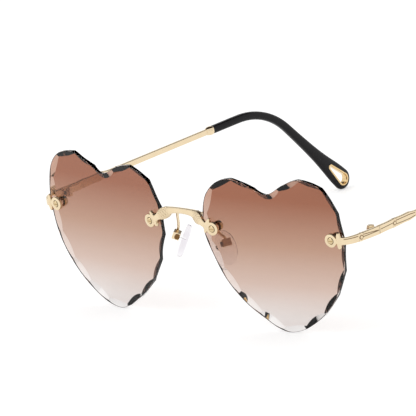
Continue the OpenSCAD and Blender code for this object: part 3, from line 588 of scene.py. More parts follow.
class Recipe:
    """A material, or the world, that is built node by node."""

    def __init__(self, owner):
        owner.use_nodes = True
        self.owner, self.tree = owner, owner.node_tree
        self.tree.nodes.clear()

    def node(self, kind, settings=None, sockets=None):
        """Adds a node: its settings first, then the values or links of its sockets."""
        made = self.tree.nodes.new(kind)
        for key, value in (settings or {}).items():
            setattr(made, key, value)
        for key, value in (sockets or {}).items():
            self.feed(made.inputs[key], value)
        return made

    def out(self, kind, settings=None, sockets=None):
        """Adds a node and gives its first output."""
        return self.node(kind, settings, sockets).outputs[0]

    def feed(self, socket, value):
        """Links a signal or a socket, or sets a value."""
        if isinstance(value, Signal):
            value = value.socket
        if isinstance(value, bpy.types.NodeSocket):
            self.tree.links.new(value, socket)
        else:
            socket.default_value = value

    def place(self):
        """Object coordinates, from one node for the whole material."""
        name = "object place"
        made = self.tree.nodes.get(name) or self.node("ShaderNodeTexCoord", {"name": name})
        return made.outputs["Object"]

    def mark(self, name):
        """A mesh attribute's value."""
        made = self.node("ShaderNodeAttribute", {"attribute_name": name})
        return Signal(self, made.outputs["Fac"])

    def noise(self, scale, detail=3.0, roughness=0.5, stretch=(1, 1, 1)):
        """Noise on Object coordinates, about 0.5 on average."""
        mapped = self.out("ShaderNodeMapping", {},
                          {"Vector": self.place(), "Scale": stretch})
        return Signal(self, self.out("ShaderNodeTexNoise", {}, {
            "Vector": mapped, "Scale": scale, "Detail": detail, "Roughness": roughness}))

    def blend(self, factor, first, second):
        """Colour between two colours. A Mix node's sockets share their names, so those
        that take and give colours are found by their numbers."""
        made = self.node("ShaderNodeMix", {"data_type": "RGBA"})
        factor_in, first_in, second_in, colour_out = 0, 6, 7, 2
        self.feed(made.inputs[factor_in], factor)
        self.feed(made.inputs[first_in], opaque(first))
        self.feed(made.inputs[second_in], opaque(second))
        return made.outputs[colour_out]

    def steps(self, value, stops):
        """Colour ramp through stops of place and colour."""
        made = self.node("ShaderNodeValToRGB")
        ramp = made.color_ramp
        while len(ramp.elements) < len(stops):
            ramp.elements.new(0.5)
        for element, (where, tone) in zip(ramp.elements, stops):
            element.position = where
            element.color = opaque(tone)
        self.feed(made.inputs[0], value)
        return made.outputs[0]

    def bump(self, height, strength, distance):
        return self.out("ShaderNodeBump", {}, {
            "Height": height, "Strength": strength, "Distance": distance})

    def clear_body(self, tint, loss, dense, sockets):
        """Glass round a body that takes up light. Shadow rays only meet its tint."""
        glass = self.out("ShaderNodeBsdfPrincipled", {}, {
            "Base Color": tint, "Transmission Weight": 1.0, **sockets})
        thin = self.out("ShaderNodeBsdfTransparent", {}, {"Color": tint})
        shadow = self.node("ShaderNodeLightPath").outputs["Is Shadow Ray"]
        both = self.out("ShaderNodeMixShader", {}, {0: shadow, 1: glass, 2: thin})
        body = self.out("ShaderNodeVolumeAbsorption", {}, {
            "Color": opaque(loss), "Density": dense})
        return self.finish(both, body)

    def finish(self, shader, volume=None):
        sockets = {"Surface": shader}
        if volume:
            sockets["Volume"] = volume
        self.node("ShaderNodeOutputMaterial", {}, sockets)
        return self.owner


def recipe(name):
    """A new material's recipe."""
    return Recipe(bpy.data.materials.new(name))


def opaque(tone):
    """A colour with its fourth number, or a socket as it is."""
    return tone if isinstance(tone, bpy.types.NodeSocket) else (*tone[:3], 1)


def tinted_resin(finish, name):
    """Clear resin with a dyed face, whose tint fades from brown at the top to clear at the
    foot. Where facets are ground, the dye is off. Light that stays long in it is lost."""
    mix = recipe(name)
    axes = mix.node("ShaderNodeSeparateXYZ", {}, {0: mix.place()})
    up = Signal(mix, axes.outputs["Z"]) / CAD_BOX[1][2]
    tint = mix.steps(up, [(0.08, finish.tint_foot), (0.3, finish.tint_low),
                          (0.55, finish.tint_high), (0.85, finish.tint_top)])
    tint = mix.blend(mix.mark("ground") * finish.ground_off, tint, (1, 1, 1))
    return mix.clear_body(tint, finish.resin, finish.resin_dense, {
        "Roughness": mix.noise(900, 2.0) * 0.012, "IOR": finish.lens_index,
        "Specular Tint": (0.5, 0.5, 0.5, 1)})


def clear_plastic(finish, name, rough):
    """Clear plastic with a faint lilac cast in its body and soft, uneven gloss."""
    mix = recipe(name)
    cloud = mix.noise(700)
    tone = mix.blend(cloud, (1, 1, 1), (0.97, 0.965, 0.97))
    return mix.clear_body(tone, finish.clear, finish.clear_dense, {
        "Roughness": rough + 0.05 * cloud, "IOR": finish.clear_index})


def plated_metal(name, light, deep, rough, brush=(1, 1, 1), painted_shade_tone=None):
    """Polished plating: its colour drifts a little, and fine lines catch the light. Where
    the engraved mark lies, in grooves, recesses, beside collars, round beads and in
    milled troughs, painted shade blends its colour towards a dark one."""
    mix = recipe(name)
    drift = mix.noise(260)
    lines = mix.noise(2600, 4.0, 0.6, brush)
    tone = mix.blend(drift * 0.8, light, deep)
    shine = rough + 0.1 * lines + 0.06 * drift
    if painted_shade_tone:
        # Painted shade: the engraved mark blends the plating towards the dark colour
        engraved = mix.mark("engraved")
        tone = mix.blend(engraved, tone, painted_shade_tone)
        shine = shine + 0.2 * engraved
    return mix.finish(mix.out("ShaderNodeBsdfPrincipled", {}, {
        "Base Color": tone, "Metallic": 1.0, "Roughness": shine,
        "Normal": mix.bump(lines, 0.12, 0.00004)}))


def moulded_black(finish, name):
    """Black acetate with a satin gloss, a faint mottle and the fine pull of tumbling."""
    mix = recipe(name)
    mottle = mix.noise(420, 4.0)
    pull = mix.noise(1500, stretch=(1, 0.25, 1))
    tone = mix.blend(mottle * 0.5, finish.black, [2.2 * c for c in finish.black])
    return mix.finish(mix.out("ShaderNodeBsdfPrincipled", {}, {
        "Base Color": tone, "Roughness": 0.22 + 0.12 * mottle, "Specular IOR Level": 0.15,
        "Normal": mix.bump(pull, 0.1, 0.00005)}))


def material(name):
    """A finished material by name, made the first time that it is asked for."""
    if name in bpy.data.materials:
        return bpy.data.materials[name]
    finish = bpy.context.scene.glasses_finish
    metals = {
        # A metal's fifth entry is the colour of its painted shade
        "pale_gold": (finish.gold, finish.gold_deep, 0.06, (1, 1, 1), finish.engraved),
        "strip_gold": (finish.gold, finish.gold_deep, 0.08, (1, 0.06, 1), finish.engraved),
        "screw_gold": (finish.screw_gold, finish.gold_deep, 0.16),
        "hinge_gold": (finish.hinge_gold, finish.gold, 0.32),
        # Painted shade: the pad screws' dark tone
        "pad_screw_shade": (finish.pad_screw_shade, finish.engraved, 0.14),
        "ring_gold": (finish.ring_gold, finish.gold_deep, 0.12),
    }
    clear_rough = {"pad_clear": 0.03, "washer_clear": 0.02}
    if name in metals:
        return plated_metal(name, *metals[name])
    if name in clear_rough:
        return clear_plastic(finish, name, clear_rough[name])
    makers = {"lens_resin": tinted_resin, "sleeve_black": moulded_black}
    return makers[name](finish, name)


# Pieces

def lens_sheet(scene):
    """A heart of flat sheet, in its own axes: across, up and to the front.

    Rows follow the edge from the front face to the rear face, which is worked out upwards
    and turned over at the end. A facet's reach on the rear face falls from its middle to
    its corners with the square of the way along the edge, and it slopes in at one angle."""
    lens, mount = scene.glasses_lens, scene.glasses_mount
    half = np.array([lens.width, lens.height]) / 2
    fine = smooth(HEART_SHARES * half, 24, closed=True)
    loop = np.vstack([fine, fine[:1]])
    runs = runs_along(loop)
    per_facet, rows, turns = 40, 7, 48
    n = lens.facets * per_facet
    where = (runs[-1] * np.arange(n) / n + lens.facet_from) % runs[-1]
    edge = np.stack([np.interp(where, runs, loop[:, k]) for k in (0, 1)], -1)
    way = unit(np.roll(edge, -1, 0) - np.roll(edge, 1, 0))
    inward = np.stack([-way[:, 1], way[:, 0]], -1)

    face = lens.thickness / 2
    off_middle = (np.arange(n) / per_facet + 0.5) % 1 - 0.5
    deep = lens.facet_in - (lens.facet_in - lens.facet_corner) * (2 * off_middle) ** 2
    slope = lens.facet_in / (lens.thickness - lens.land)

    def ring(depth, height):
        """The edge moved in by a depth, at a height."""
        return points_at(*(edge + inward * np.reshape(depth, (-1, 1))).T, height)

    rings = [ring(lens.edge, -face), ring(0, lens.edge - face)]
    for up in np.linspace(0, 1, rows):
        rings.append(ring(deep * up, face - deep / slope * (1 - up)))
    points, faces = tube(np.array(rings), caps=False)

    a = full_turn(turns)
    circle = np.stack([np.cos(a), np.sin(a)], -1) * mount.hole / 2
    backs, fronts = [np.arange(n)], [np.arange(n) + (rows + 1) * n]
    for middle in hole_places(scene):
        start = len(points)
        wall = [points_at(*(middle + circle).T, z) for z in (-face, face)]
        wall_points, wall_faces = tube(np.array(wall), caps=False)
        points = np.vstack([points, wall_points])
        faces += [[i + start for i in quad[::-1]] for quad in wall_faces]
        backs.append(np.arange(turns) + start)
        fronts.append(np.arange(turns) + start + turns)
    ground = [1] * len(faces)
    for loops, up in ((backs, False), (fronts, True)):
        index = np.concatenate(loops)
        flat = [[Vector((*p[:2], 0)) for p in points[loop]] for loop in loops]
        tri = index[np.array(tessellate_polygon(flat))]
        a, b, c = (points[tri[:, k], :2] for k in range(3))
        ab, ac = b - a, c - a
        wrong = (ab[:, 0] * ac[:, 1] - ab[:, 1] * ac[:, 0] > 0) != up
        tri[wrong] = tri[wrong][:, ::-1]
        faces += tri.tolist()
        ground += [0] * len(tri)
    return points * (1, 1, -1), [face[::-1] for face in faces], ground


def mount_plate(scene, place, bow_at):
    """Plate over a hole: a lathed disc with a recess, a bow whose outline runs smoothly
    through its shares and steps in to a bevelled face, and a neck between them."""
    mount, lens = scene.glasses_mount, scene.glasses_lens
    low = lens.thickness / 2 + mount.washer
    high = low + mount.plate
    bevel, neck_thick, neck_corner = (mount.plate * part for part in (0.16, 0.98, 0.2))
    r = mount.disc / 2
    profile = np.array([
        [mount.bore, low], [r - bevel / 2, low], [r, low + bevel / 2], [r, high - bevel],
        [r - bevel * 0.3, high - bevel * 0.3], [r - bevel, high],
        [mount.recess + bevel / 2, high], [mount.recess, high - bevel / 2],
        [mount.recess, high - mount.recess_deep], [mount.bore, high - mount.recess_deep]])
    disc = lathe(profile)
    # The bow's rings are shares of its outline at heights, from the rear to the front
    outline = smooth(BOW_SHARES * (mount.bow_wide, mount.bow_high), 6, closed=True)
    bow = [points_at(*(outline * shrink + (bow_at, 0)).T, z) for shrink, z in (
        (0.9, low), (1, low + bevel), (1, high - bevel * 1.6), (0.95, high - bevel * 0.5),
        (0.84, high), (0.5, high + bevel * 0.5))]
    steps = np.linspace(mount.recess + bevel, bow_at, 9)
    line = points_at(steps, 0, (low + high) / 2)
    neck = slab_rings(line, UPWARD, (0, -1, 0), neck_thick, mount.neck, neck_corner)
    # The disc's recess carries painted shade
    return [solid(disc, place, np.tile(RECESS_PAINTED_SHADE, len(disc)), closed=True),
            solid(np.array(bow), place), solid(neck, place)]


def bridge_shells(scene):
    """Bar between two plates: rounded oblongs along a smooth line, with a cross-hatch of
    shallow waves along and round the knobs, and painted shade in the waves' troughs."""
    bridge, mount = scene.glasses_bridge, scene.glasses_mount
    plate = plate_point(scene, 1)
    rows = smooth(BAR_SHARES, 16)
    rows = np.vstack([rows, (rows * (-1, 1, 1, 1, 1))[-2::-1]])
    line = points_at(plate[0] * rows[:, 0], plate[1] + bridge.back * rows[:, 2],
                     plate[2] + bridge.rise * rows[:, 1])
    travel = unit(np.gradient(line, axis=0))
    up = unit(points_at(travel[:, 2], 0, -travel[:, 0]))
    sides = 96
    rings = oblong_rings(line, (0, -1, 0), up, bridge.knob_deep * rows[:, 4],
                         bridge.knob_high * rows[:, 3], bridge.square, sides)
    knob_from, knob_full = 0.6, 0.9
    on_knob = np.clip((rows[:, 3] - knob_from) / (knob_full - knob_from), 0, 1)[:, None]
    turns = np.round(bridge.knob_high * 3 / bridge.pitch)
    wave = (np.sin(2 * np.pi * runs_along(line) / bridge.pitch)[:, None]
            * np.sin(turns * full_turn(sides)))
    outward = unit(rings - line[:, None])
    rings = rings + outward * (bridge.mill * on_knob * (wave - 1))[..., None]
    # Painted shade in the troughs of the milled waves on the knobs
    milled_trough_shade = 0.5
    dark = on_knob * (0.5 - wave / 2) ** 2 * milled_trough_shade
    plates = mount_plate(scene, at_hole(scene, 1) @ turned("Z", mount.turn), mount.inner_bow)
    return [solid(rings, dark=dark.ravel()), *plates, *on_side(plates, "right")]


def groove_sink(temple, along, paths, heights, collars):
    """How far the outer face sinks: for each engraved line a bell round its path, whose
    height above the strip's middle runs straight between its given places. Also how
    much painted shade lies on each point: as the groove is deep, beside each slanted
    collar, and round its bead."""
    sx, sy, ox = slab_profile()[:3]
    # The outer face's points, without those of its round corners
    on_face = (sx < -0.99) & (np.abs(sy) < 0.99) & (ox < -0.5)
    v = heights[:, None] / 2 * sy
    sink = np.zeros_like(v)
    for path in paths:
        places, shares = np.transpose(path)
        centre = np.interp(along, places, shares)[:, None] * heights[:, None]
        on = ((along >= places[0]) & (along <= places[-1]))[:, None]
        bell = np.exp(-((v - centre) / temple.groove_wide) ** 2)
        sink = np.maximum(sink, temple.groove * bell * on * on_face)
    # Painted shade: deeper grooves are darker, and shade is painted beside each collar and round
    # its bead
    dark = sink / temple.groove
    collar_side_shade, rim_wide = 0.3, 2.4 * temple.groove_wide
    for collar in collars:
        off = np.abs(along[:, None] - collar - v * math.tan(temple.slant)) - temple.collar / 2
        beside = collar_side_shade * np.exp(-(off.clip(0) / temple.groove_wide) ** 2)
        ring = np.hypot(along[:, None] - collar, v) - temple.bead
        bead_rim_shade = on_face * np.exp(-(ring.clip(0) / rim_wide) ** 2)
        dark = np.maximum(dark, np.maximum(beside, bead_rim_shade))
    return sink, dark.ravel()


def slanted_collar(temple, at, height, place):
    """A low band round the strip, leaning along it: a rounded box of rings across the
    strip, whose ends shrink with the eighth power of the way from its middle. On its
    outer face sits a bead, a circle's arc turned round its axis, with painted shade
    round its foot."""
    low, corner, end_loss = temple.proud * 0.4, temple.thick * 0.14, 0.14
    rim_wide, face_from = 1.6 * temple.groove_wide, 0.4 * temple.thick
    steps = np.linspace(-0.5, 0.5, 15)
    swell = 1 - end_loss * (2 * steps) ** 8
    line = points_at(0, steps * temple.collar, 0)
    rings = slab_rings(line, INWARD, UPWARD, (temple.thick + 2 * low) * swell,
                       (height + 2 * low) * swell, corner)
    # Painted shade on the band's outer face round the bead's foot
    off_bead = np.hypot(rings[..., 1], rings[..., 2]) - temple.bead
    dark = np.exp(-(off_bead.clip(0) / rim_wide) ** 2) * (rings[..., 0] > face_from)
    a = np.linspace(0, np.pi / 2, 7)[:-1]
    dome = np.column_stack([temple.bead * np.cos(a), temple.proud * np.sin(a)])
    axis = 1e-5
    profile = np.vstack([[axis, -temple.proud], [temple.bead, -temple.proud], dome,
                         [axis, temple.proud]])
    bead = lathe(profile, 32)
    spot = place @ moved(0, at, 0) @ turned("X", -temple.slant)
    on_band = spot @ moved(temple.thick / 2, 0, 0) @ turned("Y", math.pi / 2)
    # The bead's lower rows carry painted shade
    return [solid(rings, spot, dark.ravel()),
            solid(bead, on_band, np.tile(BEAD_PAINTED_SHADE, len(bead)), closed=True)]


def endpiece_shells(scene):
    """Plate, then an arm that follows a cubic with four poles round the lens edge."""
    temple, mount = scene.glasses_temple, scene.glasses_mount
    start = plate_point(scene, 0, temple.arm_from)
    hinge = np.array(ANCHORS["temple_left_fold"])
    back = np.array([-math.sin(temple.toe), math.cos(temple.toe), 0])
    across = np.array([math.cos(temple.toe), math.sin(temple.toe), 0])
    seam = (hinge + (temple.inside + temple.thick / 2) * across
            + (temple.seam - temple.seam_gap) * back)
    poles = np.array([start, start + (temple.arm_out, 0, 0), seam - temple.arm_back * back,
                      seam])
    poles[:, 2] = 0
    t = np.linspace(0, 1, 141)[:, None]
    line = ((1 - t) ** 3 * poles[0] + 3 * t * (1 - t) ** 2 * poles[1]
            + 3 * t ** 2 * (1 - t) * poles[2] + t ** 3 * poles[3])
    way = unit((1 - t) ** 2 * (poles[1] - poles[0])
               + 2 * t * (1 - t) * (poles[2] - poles[1]) + t ** 2 * (poles[3] - poles[2]))
    ease = (t * t * (3 - 2 * t))[:, 0]
    line[:, 2] = start[2] + (hinge[2] - start[2]) * ease
    side = points_at(-way[:, 1], way[:, 0], 0)
    width = mount.plate + (temple.thick - mount.plate) * ease
    height = temple.arm_high + (temple.high - temple.arm_high) * ease
    runs = runs_along(line)
    along = runs - runs[-1]
    knot = -temple.collar_at - temple.seam
    paths = [
        [(-temple.line_from, 0.34), (knot - temple.line_short, 0.3)],
        [(knot + temple.line_off, 0.33), (-temple.line_seam, 0.05)],
        [(knot + temple.line_off, -0.02), (-temple.line_seam, 0.0)],
    ]
    sink, dark = groove_sink(temple, along, paths, height, [knot])
    rings = slab_rings(line, side, UPWARD, width, height, temple.thick * temple.edge, sink)
    k = int(np.abs(along - knot).argmin())
    band = Matrix(np.column_stack([-side[k], way[k], UPWARD])).to_4x4()
    band.translation = line[k]
    return [solid(rings, dark=dark), *slanted_collar(temple, 0, float(height[k]), band),
            *mount_plate(scene, at_hole(scene, 0), mount.outer_bow)]


def bend(temple):
    """Lengths of the temple's line where its bend begins and ends, and from either end of
    the bend to the corner."""
    cut = temple.radius * math.tan(temple.drop / 2)
    begin = temple.corner - cut
    return begin, begin + temple.radius * temple.drop, cut


def tail_line(temple, s):
    """Place and slope of the temple's line at lengths s: straight, then a circle's arc
    through the drop angle, then straight down the tail."""
    begin, end = bend(temple)[:2]
    a = ((s - begin) / temple.radius).clip(0, temple.drop)
    beyond = (s - end).clip(0)
    y = np.minimum(s, begin) + temple.radius * np.sin(a) + beyond * math.cos(temple.drop)
    z = temple.radius * (np.cos(a) - 1) - beyond * math.sin(temple.drop)
    return y, z, a


def tail_end(temple):
    """Length of the line up to the middle of the paddle's round end, which touches the
    ground."""
    end, cut = bend(temple)[1:]
    up = ANCHORS["temple_left_fold"][2]
    fall = up - temple.paddle / 2 + temple.corner * math.sin(temple.climb)
    return end + fall / math.sin(temple.drop - temple.climb) - cut


def line_rings(temple, s, width, height, power, sides=64, beyond=0.0):
    """Oblong rings round the temple's line at lengths s, moved beyond them, straight on."""
    y, z, a = tail_line(temple, s)
    middle = points_at(0, y + beyond * np.cos(a), z - beyond * np.sin(a))
    up = points_at(0, np.sin(a), np.cos(a))
    return oblong_rings(middle, INWARD, up, width, height, power, sides)


def temple_shells(scene):
    """Strip with a leaf-shaped, engraved front, two collars, and the core wire."""
    temple = scene.glasses_temple
    slim = temple.slim / temple.high
    straight_from, line_end = 1.25, 1.12
    strip_end = (temple.ferrule_at - temple.seam) / temple.leaf
    # Behind its leaf the strip stays slim
    rows = smooth(np.vstack([LEAF_SHARES, [[1.2, slim], [1.6, slim]]]), 16)
    rows = np.vstack([rows, [strip_end, slim]])
    rows[:, 1] = np.where(rows[:, 0] > straight_from, slim, rows[:, 1])
    along = temple.seam + rows[:, 0] * temple.leaf
    height = temple.high * rows[:, 1]
    knots = [temple.seam + knot * temple.leaf for knot in temple.knots]
    first = knots[0]
    near, run = first + temple.line_near, first + temple.line_run
    last = temple.seam + line_end * temple.leaf
    paths = [
        [(temple.seam + temple.line_leaf, 0.04), (first - temple.line_off, 0.12)],
        [(near, 0.28), (run, 0.3), (last, 0.27)],
        [(near, -0.2), (run, -0.3), (last, -0.3)],
    ]
    sink, dark = groove_sink(temple, along, paths, height, knots)
    rings = slab_rings(points_at(0, along, 0), INWARD, UPWARD, temple.thick, height,
                       temple.thick * temple.edge, -sink)
    place = at_temple(scene)
    shells = [solid(rings, place, dark)]
    for knot, tall in zip(knots, (temple.high, temple.slim)):
        shells += slanted_collar(temple, knot, tall, place)
    bend_end = bend(temple)[1]
    core_end = bend_end + (tail_end(temple) - bend_end) * temple.core_share
    s = np.linspace(temple.ferrule_at - temple.core_root, core_end, 60)
    core = line_rings(temple, s, temple.core, temple.core, power=1.0, sides=20)
    return [*shells, solid(core, place)]


def ferrule_shells(scene):
    """Collar before the sleeve: rounded oblongs through its shares."""
    temple = scene.glasses_temple
    rows = smooth(FERRULE_SHARES, 8)
    s = temple.ferrule_at + rows[:, 0] * temple.ferrule
    rings = line_rings(temple, s, temple.sleeve_thick * rows[:, 1],
                       temple.sleeve_high * rows[:, 2], temple.square)
    return [solid(rings, at_temple(scene))]


def tip_shells(scene):
    """Sleeve that widens to a paddle, then closes in rings whose width falls with the
    cosine, on a half circle, and whose thickness falls more slowly."""
    temple = scene.glasses_temple
    rows = smooth(TIP_SHARES, 8)
    start = temple.ferrule_at + temple.ferrule
    end = tail_end(temple)
    thick = temple.sleeve_thick + (temple.paddle_thick - temple.sleeve_thick) * rows[:, 1]
    wide = temple.sleeve_high + (temple.paddle - temple.sleeve_high) * rows[:, 1]
    rings = line_rings(temple, start + (end - start) * rows[:, 0], thick, wide, temple.square)
    a = np.linspace(0, np.pi / 2, 20)[1:-1]
    slow = 0.45
    cap = line_rings(temple, 0 * a + end, temple.paddle_thick * np.cos(a) ** slow,
                     temple.paddle * np.cos(a), temple.square,
                     beyond=temple.paddle / 2 * np.sin(a))
    return [solid(np.vstack([rings, cap]), at_temple(scene))]


def drop_outline(temple, inset, steps=40):
    """Drop in its plane: an arc round the wide end and one round the narrow end, joined
    by straight lines that touch both."""
    wide, slim = temple.ring_wide - inset, temple.ring_slim - inset
    lean = math.asin((wide - slim) / temple.ring_run)
    t = np.linspace(0, 1, steps)
    a = np.pi / 2 - lean + (np.pi + 2 * lean) * t
    b = lean - np.pi / 2 + (np.pi - 2 * lean) * t
    return np.column_stack([
        np.concatenate([wide * np.cos(a), temple.ring_run + slim * np.cos(b)]),
        np.concatenate([wide * np.sin(a), slim * np.sin(b)])])


def at_tail(scene):
    """From the drop's plane, its narrow end along X, to the end of the left temple."""
    temple = scene.glasses_temple
    y, z = tail_line(temple, np.array([tail_end(temple)]))[:2]
    return (at_temple(scene) @ moved(0, float(y[0]), float(z[0])) @ turned("Z", math.pi / 2)
            @ turned("X", math.pi / 2) @ turned("Z", math.pi - temple.drop))


def drop_shells(scene):
    """Space of the hole in a paddle, as far as the middle of the drop ring's wall."""
    temple = scene.glasses_temple
    outline = drop_outline(temple, temple.ring_wall / 2)
    rings = [points_at(*outline.T, z) for z in (-temple.paddle_thick, temple.paddle_thick)]
    return [solid(np.array(rings), at_tail(scene))]


def ring_shells(scene):
    """Drop ring: a small rounded oblong carried round the middle of the wall."""
    temple = scene.glasses_temple
    line = drop_outline(temple, temple.ring_wall / 2)
    same_place = 1e-7
    line = line[np.linalg.norm(line - np.roll(line, 1, 0), axis=1) > same_place]
    way = unit(np.roll(line, -1, 0) - np.roll(line, 1, 0))
    outward = points_at(way[:, 1], -way[:, 0], 0)
    rings = oblong_rings(points_at(*line.T, 0), outward, UPWARD, temple.ring_wall,
                         temple.paddle_thick + 2 * temple.ring_proud, power=0.6, sides=28)
    return [solid(rings, at_tail(scene), closed=True)]


def pad_shells(scene):
    """Nose pad: ovals that shrink to both faces, deeper on the side of the nose, and the
    tab that reaches from it into its box."""
    pad = scene.glasses_pad
    t = np.linspace(0, np.pi, 42)[1:-1][:, None]
    a = full_turn(72)
    deep = pad.thick * np.where(np.cos(t) > 0, pad.front, 1 - pad.front)
    flat = np.sin(t) ** pad.full
    oval = points_at(-pad.off - deep * rounded(np.cos(t), pad.full),
                     pad.wide / 2 * flat * np.cos(a),
                     pad.long / 2 * flat * np.sin(a) - pad.low)
    tab_from, tab_high, corner = -pad.off - 0.2 * pad.thick, 1.5 * pad.tab, 0.25 * pad.tab
    run = np.linspace(tab_from, pad.land, 9)
    tab = slab_rings(points_at(run, 0, 0), (0, 1, 0), UPWARD, pad.tab, tab_high, corner)
    return [solid(oval, at_pad(scene)), solid(tab, at_pad(scene))]


def wire_shells(scene):
    """Pad arm: a round wire from the back of the bar down to the pad box."""
    pad, bridge = scene.glasses_pad, scene.glasses_bridge
    plate = plate_point(scene, 1)
    out, back, deep, rise = ROOT_SHARES
    root = np.array([plate[0] * out, plate[1] + bridge.back * back + bridge.knob_deep * deep,
                     plate[2] + bridge.rise * rise])
    place = at_pad(scene)
    tip = np.array(place @ Vector((pad.land, 0, pad.box_high)))
    line = smooth(root + WIRE_SHARES * (tip - root), 10)
    line = np.vstack([root - (0, pad.deep, 0), line])
    travel = unit(np.gradient(line, axis=0))
    travel[:2] = (0, 1, 0)
    travel[-1] = -np.array(place)[:3, 2]
    side = unit(np.cross(travel, (1.0, 0, 0)))
    up = np.cross(travel, side)
    return [solid(oblong_rings(line, side, up, pad.wire, pad.wire, power=1.0, sides=32))]


def cut_through(piece, cutter, sharp):
    """Takes the cutter's space out of the piece, keeps the result as its mesh, and
    removes the cutter."""
    boolean = piece.modifiers.new("drop hole", "BOOLEAN")
    boolean.operation, boolean.solver, boolean.object = "DIFFERENCE", "EXACT", cutter
    graph = bpy.context.evaluated_depsgraph_get()
    done = bpy.data.meshes.new_from_object(piece.evaluated_get(graph))
    piece.modifiers.clear()
    piece.data = done
    done.polygons.foreach_set("use_smooth", np.ones(len(done.polygons), bool))
    done.set_sharp_from_angle(angle=math.radians(sharp))
    bpy.data.objects.remove(cutter)


class BuildLenses(bpy.types.Operator):
    """Builds the two heart lenses with their ground facets"""
    bl_idname = "glasses.lenses"
    bl_label = "Lenses"

    def execute(self, context):
        points, faces, ground = lens_sheet(context.scene)
        shells = [(put(points, at_lens(context.scene)), faces, None)]
        both_sides(shells, "heart_lens", "lens_resin", "front", ["lens_{}"],
                   "graded_tint_lens", sharp=12.0, ground=ground)
        return {"FINISHED"}


class BuildBridge(bpy.types.Operator):
    """Builds the bridge with its knobs and plates, and the two pad arms"""
    bl_idname = "glasses.bridge"
    bl_label = "Bridge and pad arms"

    def execute(self, context):
        piece = mesh_piece("bridge_bar", bridge_shells(context.scene), "pale_gold")
        settle(piece, "front", "polished_gold", "bridge")
        both_sides(wire_shells(context.scene), "pad_wire", "pale_gold", "front",
                   ["pad_arm_{}"], "polished_gold", sharp=40.0)
        return {"FINISHED"}


class BuildEndpieces(bpy.types.Operator):
    """Builds the two endpieces that turn back to the hinges"""
    bl_idname = "glasses.endpieces"
    bl_label = "Endpieces"

    def execute(self, context):
        both_sides(endpiece_shells(context.scene), "endpiece_arm", "strip_gold", "front",
                   ["endpiece_{}"], "polished_gold")
        return {"FINISHED"}


class BuildTemples(bpy.types.Operator):
    """Builds the two engraved temple strips and the collars before their sleeves"""
    bl_idname = "glasses.temples"
    bl_label = "Temples"

    def execute(self, context):
        both_sides(temple_shells(context.scene), "temple_strip", "strip_gold",
                   "temple_{}", ["temple_{}"], "polished_gold")
        both_sides(ferrule_shells(context.scene), "sleeve_collar", "pale_gold",
                   "temple_{}", ["ferrule_{}"], "polished_gold")
        return {"FINISHED"}


class BuildTips(bpy.types.Operator):
    """Builds the two black sleeves with their paddles and drop rings"""
    bl_idname = "glasses.tips"
    bl_label = "Sleeves and rings"

    def execute(self, context):
        scene = context.scene
        shells, hole = tip_shells(scene), drop_shells(scene)
        for side in SIDES:
            piece = mesh_piece(f"ear_sleeve_{side}", on_side(shells, side), "sleeve_black")
            cutter = mesh_piece("drop_cutter", on_side(hole, side))
            cut_through(piece, cutter, sharp=50.0)
            settle(piece, f"temple_{side}", "black_sleeve", f"tip_{side}")
        both_sides(ring_shells(scene), "drop_ring", "ring_gold", "temple_{}",
                   ["tip_ring_{}"], "polished_gold", sharp=60.0)
        return {"FINISHED"}


class BuildPads(bpy.types.Operator):
    """Builds the two clear nose pads"""
    bl_idname = "glasses.pads"
    bl_label = "Nose pads"

    def execute(self, context):
        both_sides(pad_shells(context.scene), "clear_pad", "pad_clear", "pad_{}",
                   ["nose_pad_{}", "pad_insert_{}"], "clear_plastic", sharp=60.0)
        return {"FINISHED"}


class DressHardware(bpy.types.Operator):
    """Gives the screws, nuts, washers, pad boxes and hinges their finishes"""
    bl_idname = "glasses.hardware"
    bl_label = "Screws, nuts and hinges"

    def execute(self, context):
        paints = {
            "screw_gold": ["mount_screws", "mount_nuts"],
            # Painted shade: the pad screws get the dark tone of a shaded hollow
            "pad_screw_shade": ["pad_screws"],
            "pale_gold": ["pad_box_left", "pad_box_right"],
            "hinge_gold": ["front_hinge_left", "front_hinge_right", "temple_hinge_left",
                           "temple_hinge_right", "hinge_screws"],
            "washer_clear": ["mount_bushings", "front_washers", "rear_washers"],
        }
        for paint, nodes in paints.items():
            for node in nodes:
                slots = frame["nodes"][node].data.materials
                slots.clear()
                slots.append(material(paint))
        return {"FINISHED"}


# Studio

class SetStudio(bpy.types.Operator):
    """Sets the floor, the dark card, the light and the camera"""
    bl_idname = "glasses.studio"
    bl_label = "Studio"

    def execute(self, context):
        scene = context.scene
        studio = scene.glasses_studio
        stage_square("studio_floor", studio.floor, Matrix(), floor_paint(studio))
        dark_card(studio)
        set_world(scene, studio)
        box = bpy.data.lights.new("softbox", "AREA")
        box.shape = "RECTANGLE"
        box.size, box.size_y, box.energy = studio.box_wide, studio.box_high, studio.softbox
        lamp = bpy.data.objects.new("softbox", box)
        lamp.location = studio.box_at
        lamp.rotation_euler = (-lamp.location).to_track_quat("-Z", "Y").to_euler()
        scene.collection.objects.link(lamp)
        set_camera(scene, studio)
        scene.view_settings.view_transform = "Standard"
        return {"FINISHED"}


def stage_square(name, size, place, paint):
    """A flat square that isn't part of the object."""
    square = np.array([[-1, -1, 0], [1, -1, 0], [1, 1, 0], [-1, 1, 0]]) * size / 2
    mesh = bpy.data.meshes.new(name)
    mesh.from_pydata(put(square, place).tolist(), [], [(0, 1, 2, 3)])
    mesh.materials.append(paint)
    stage = bpy.data.objects.new(name, mesh)
    bpy.context.scene.collection.objects.link(stage)
    return stage


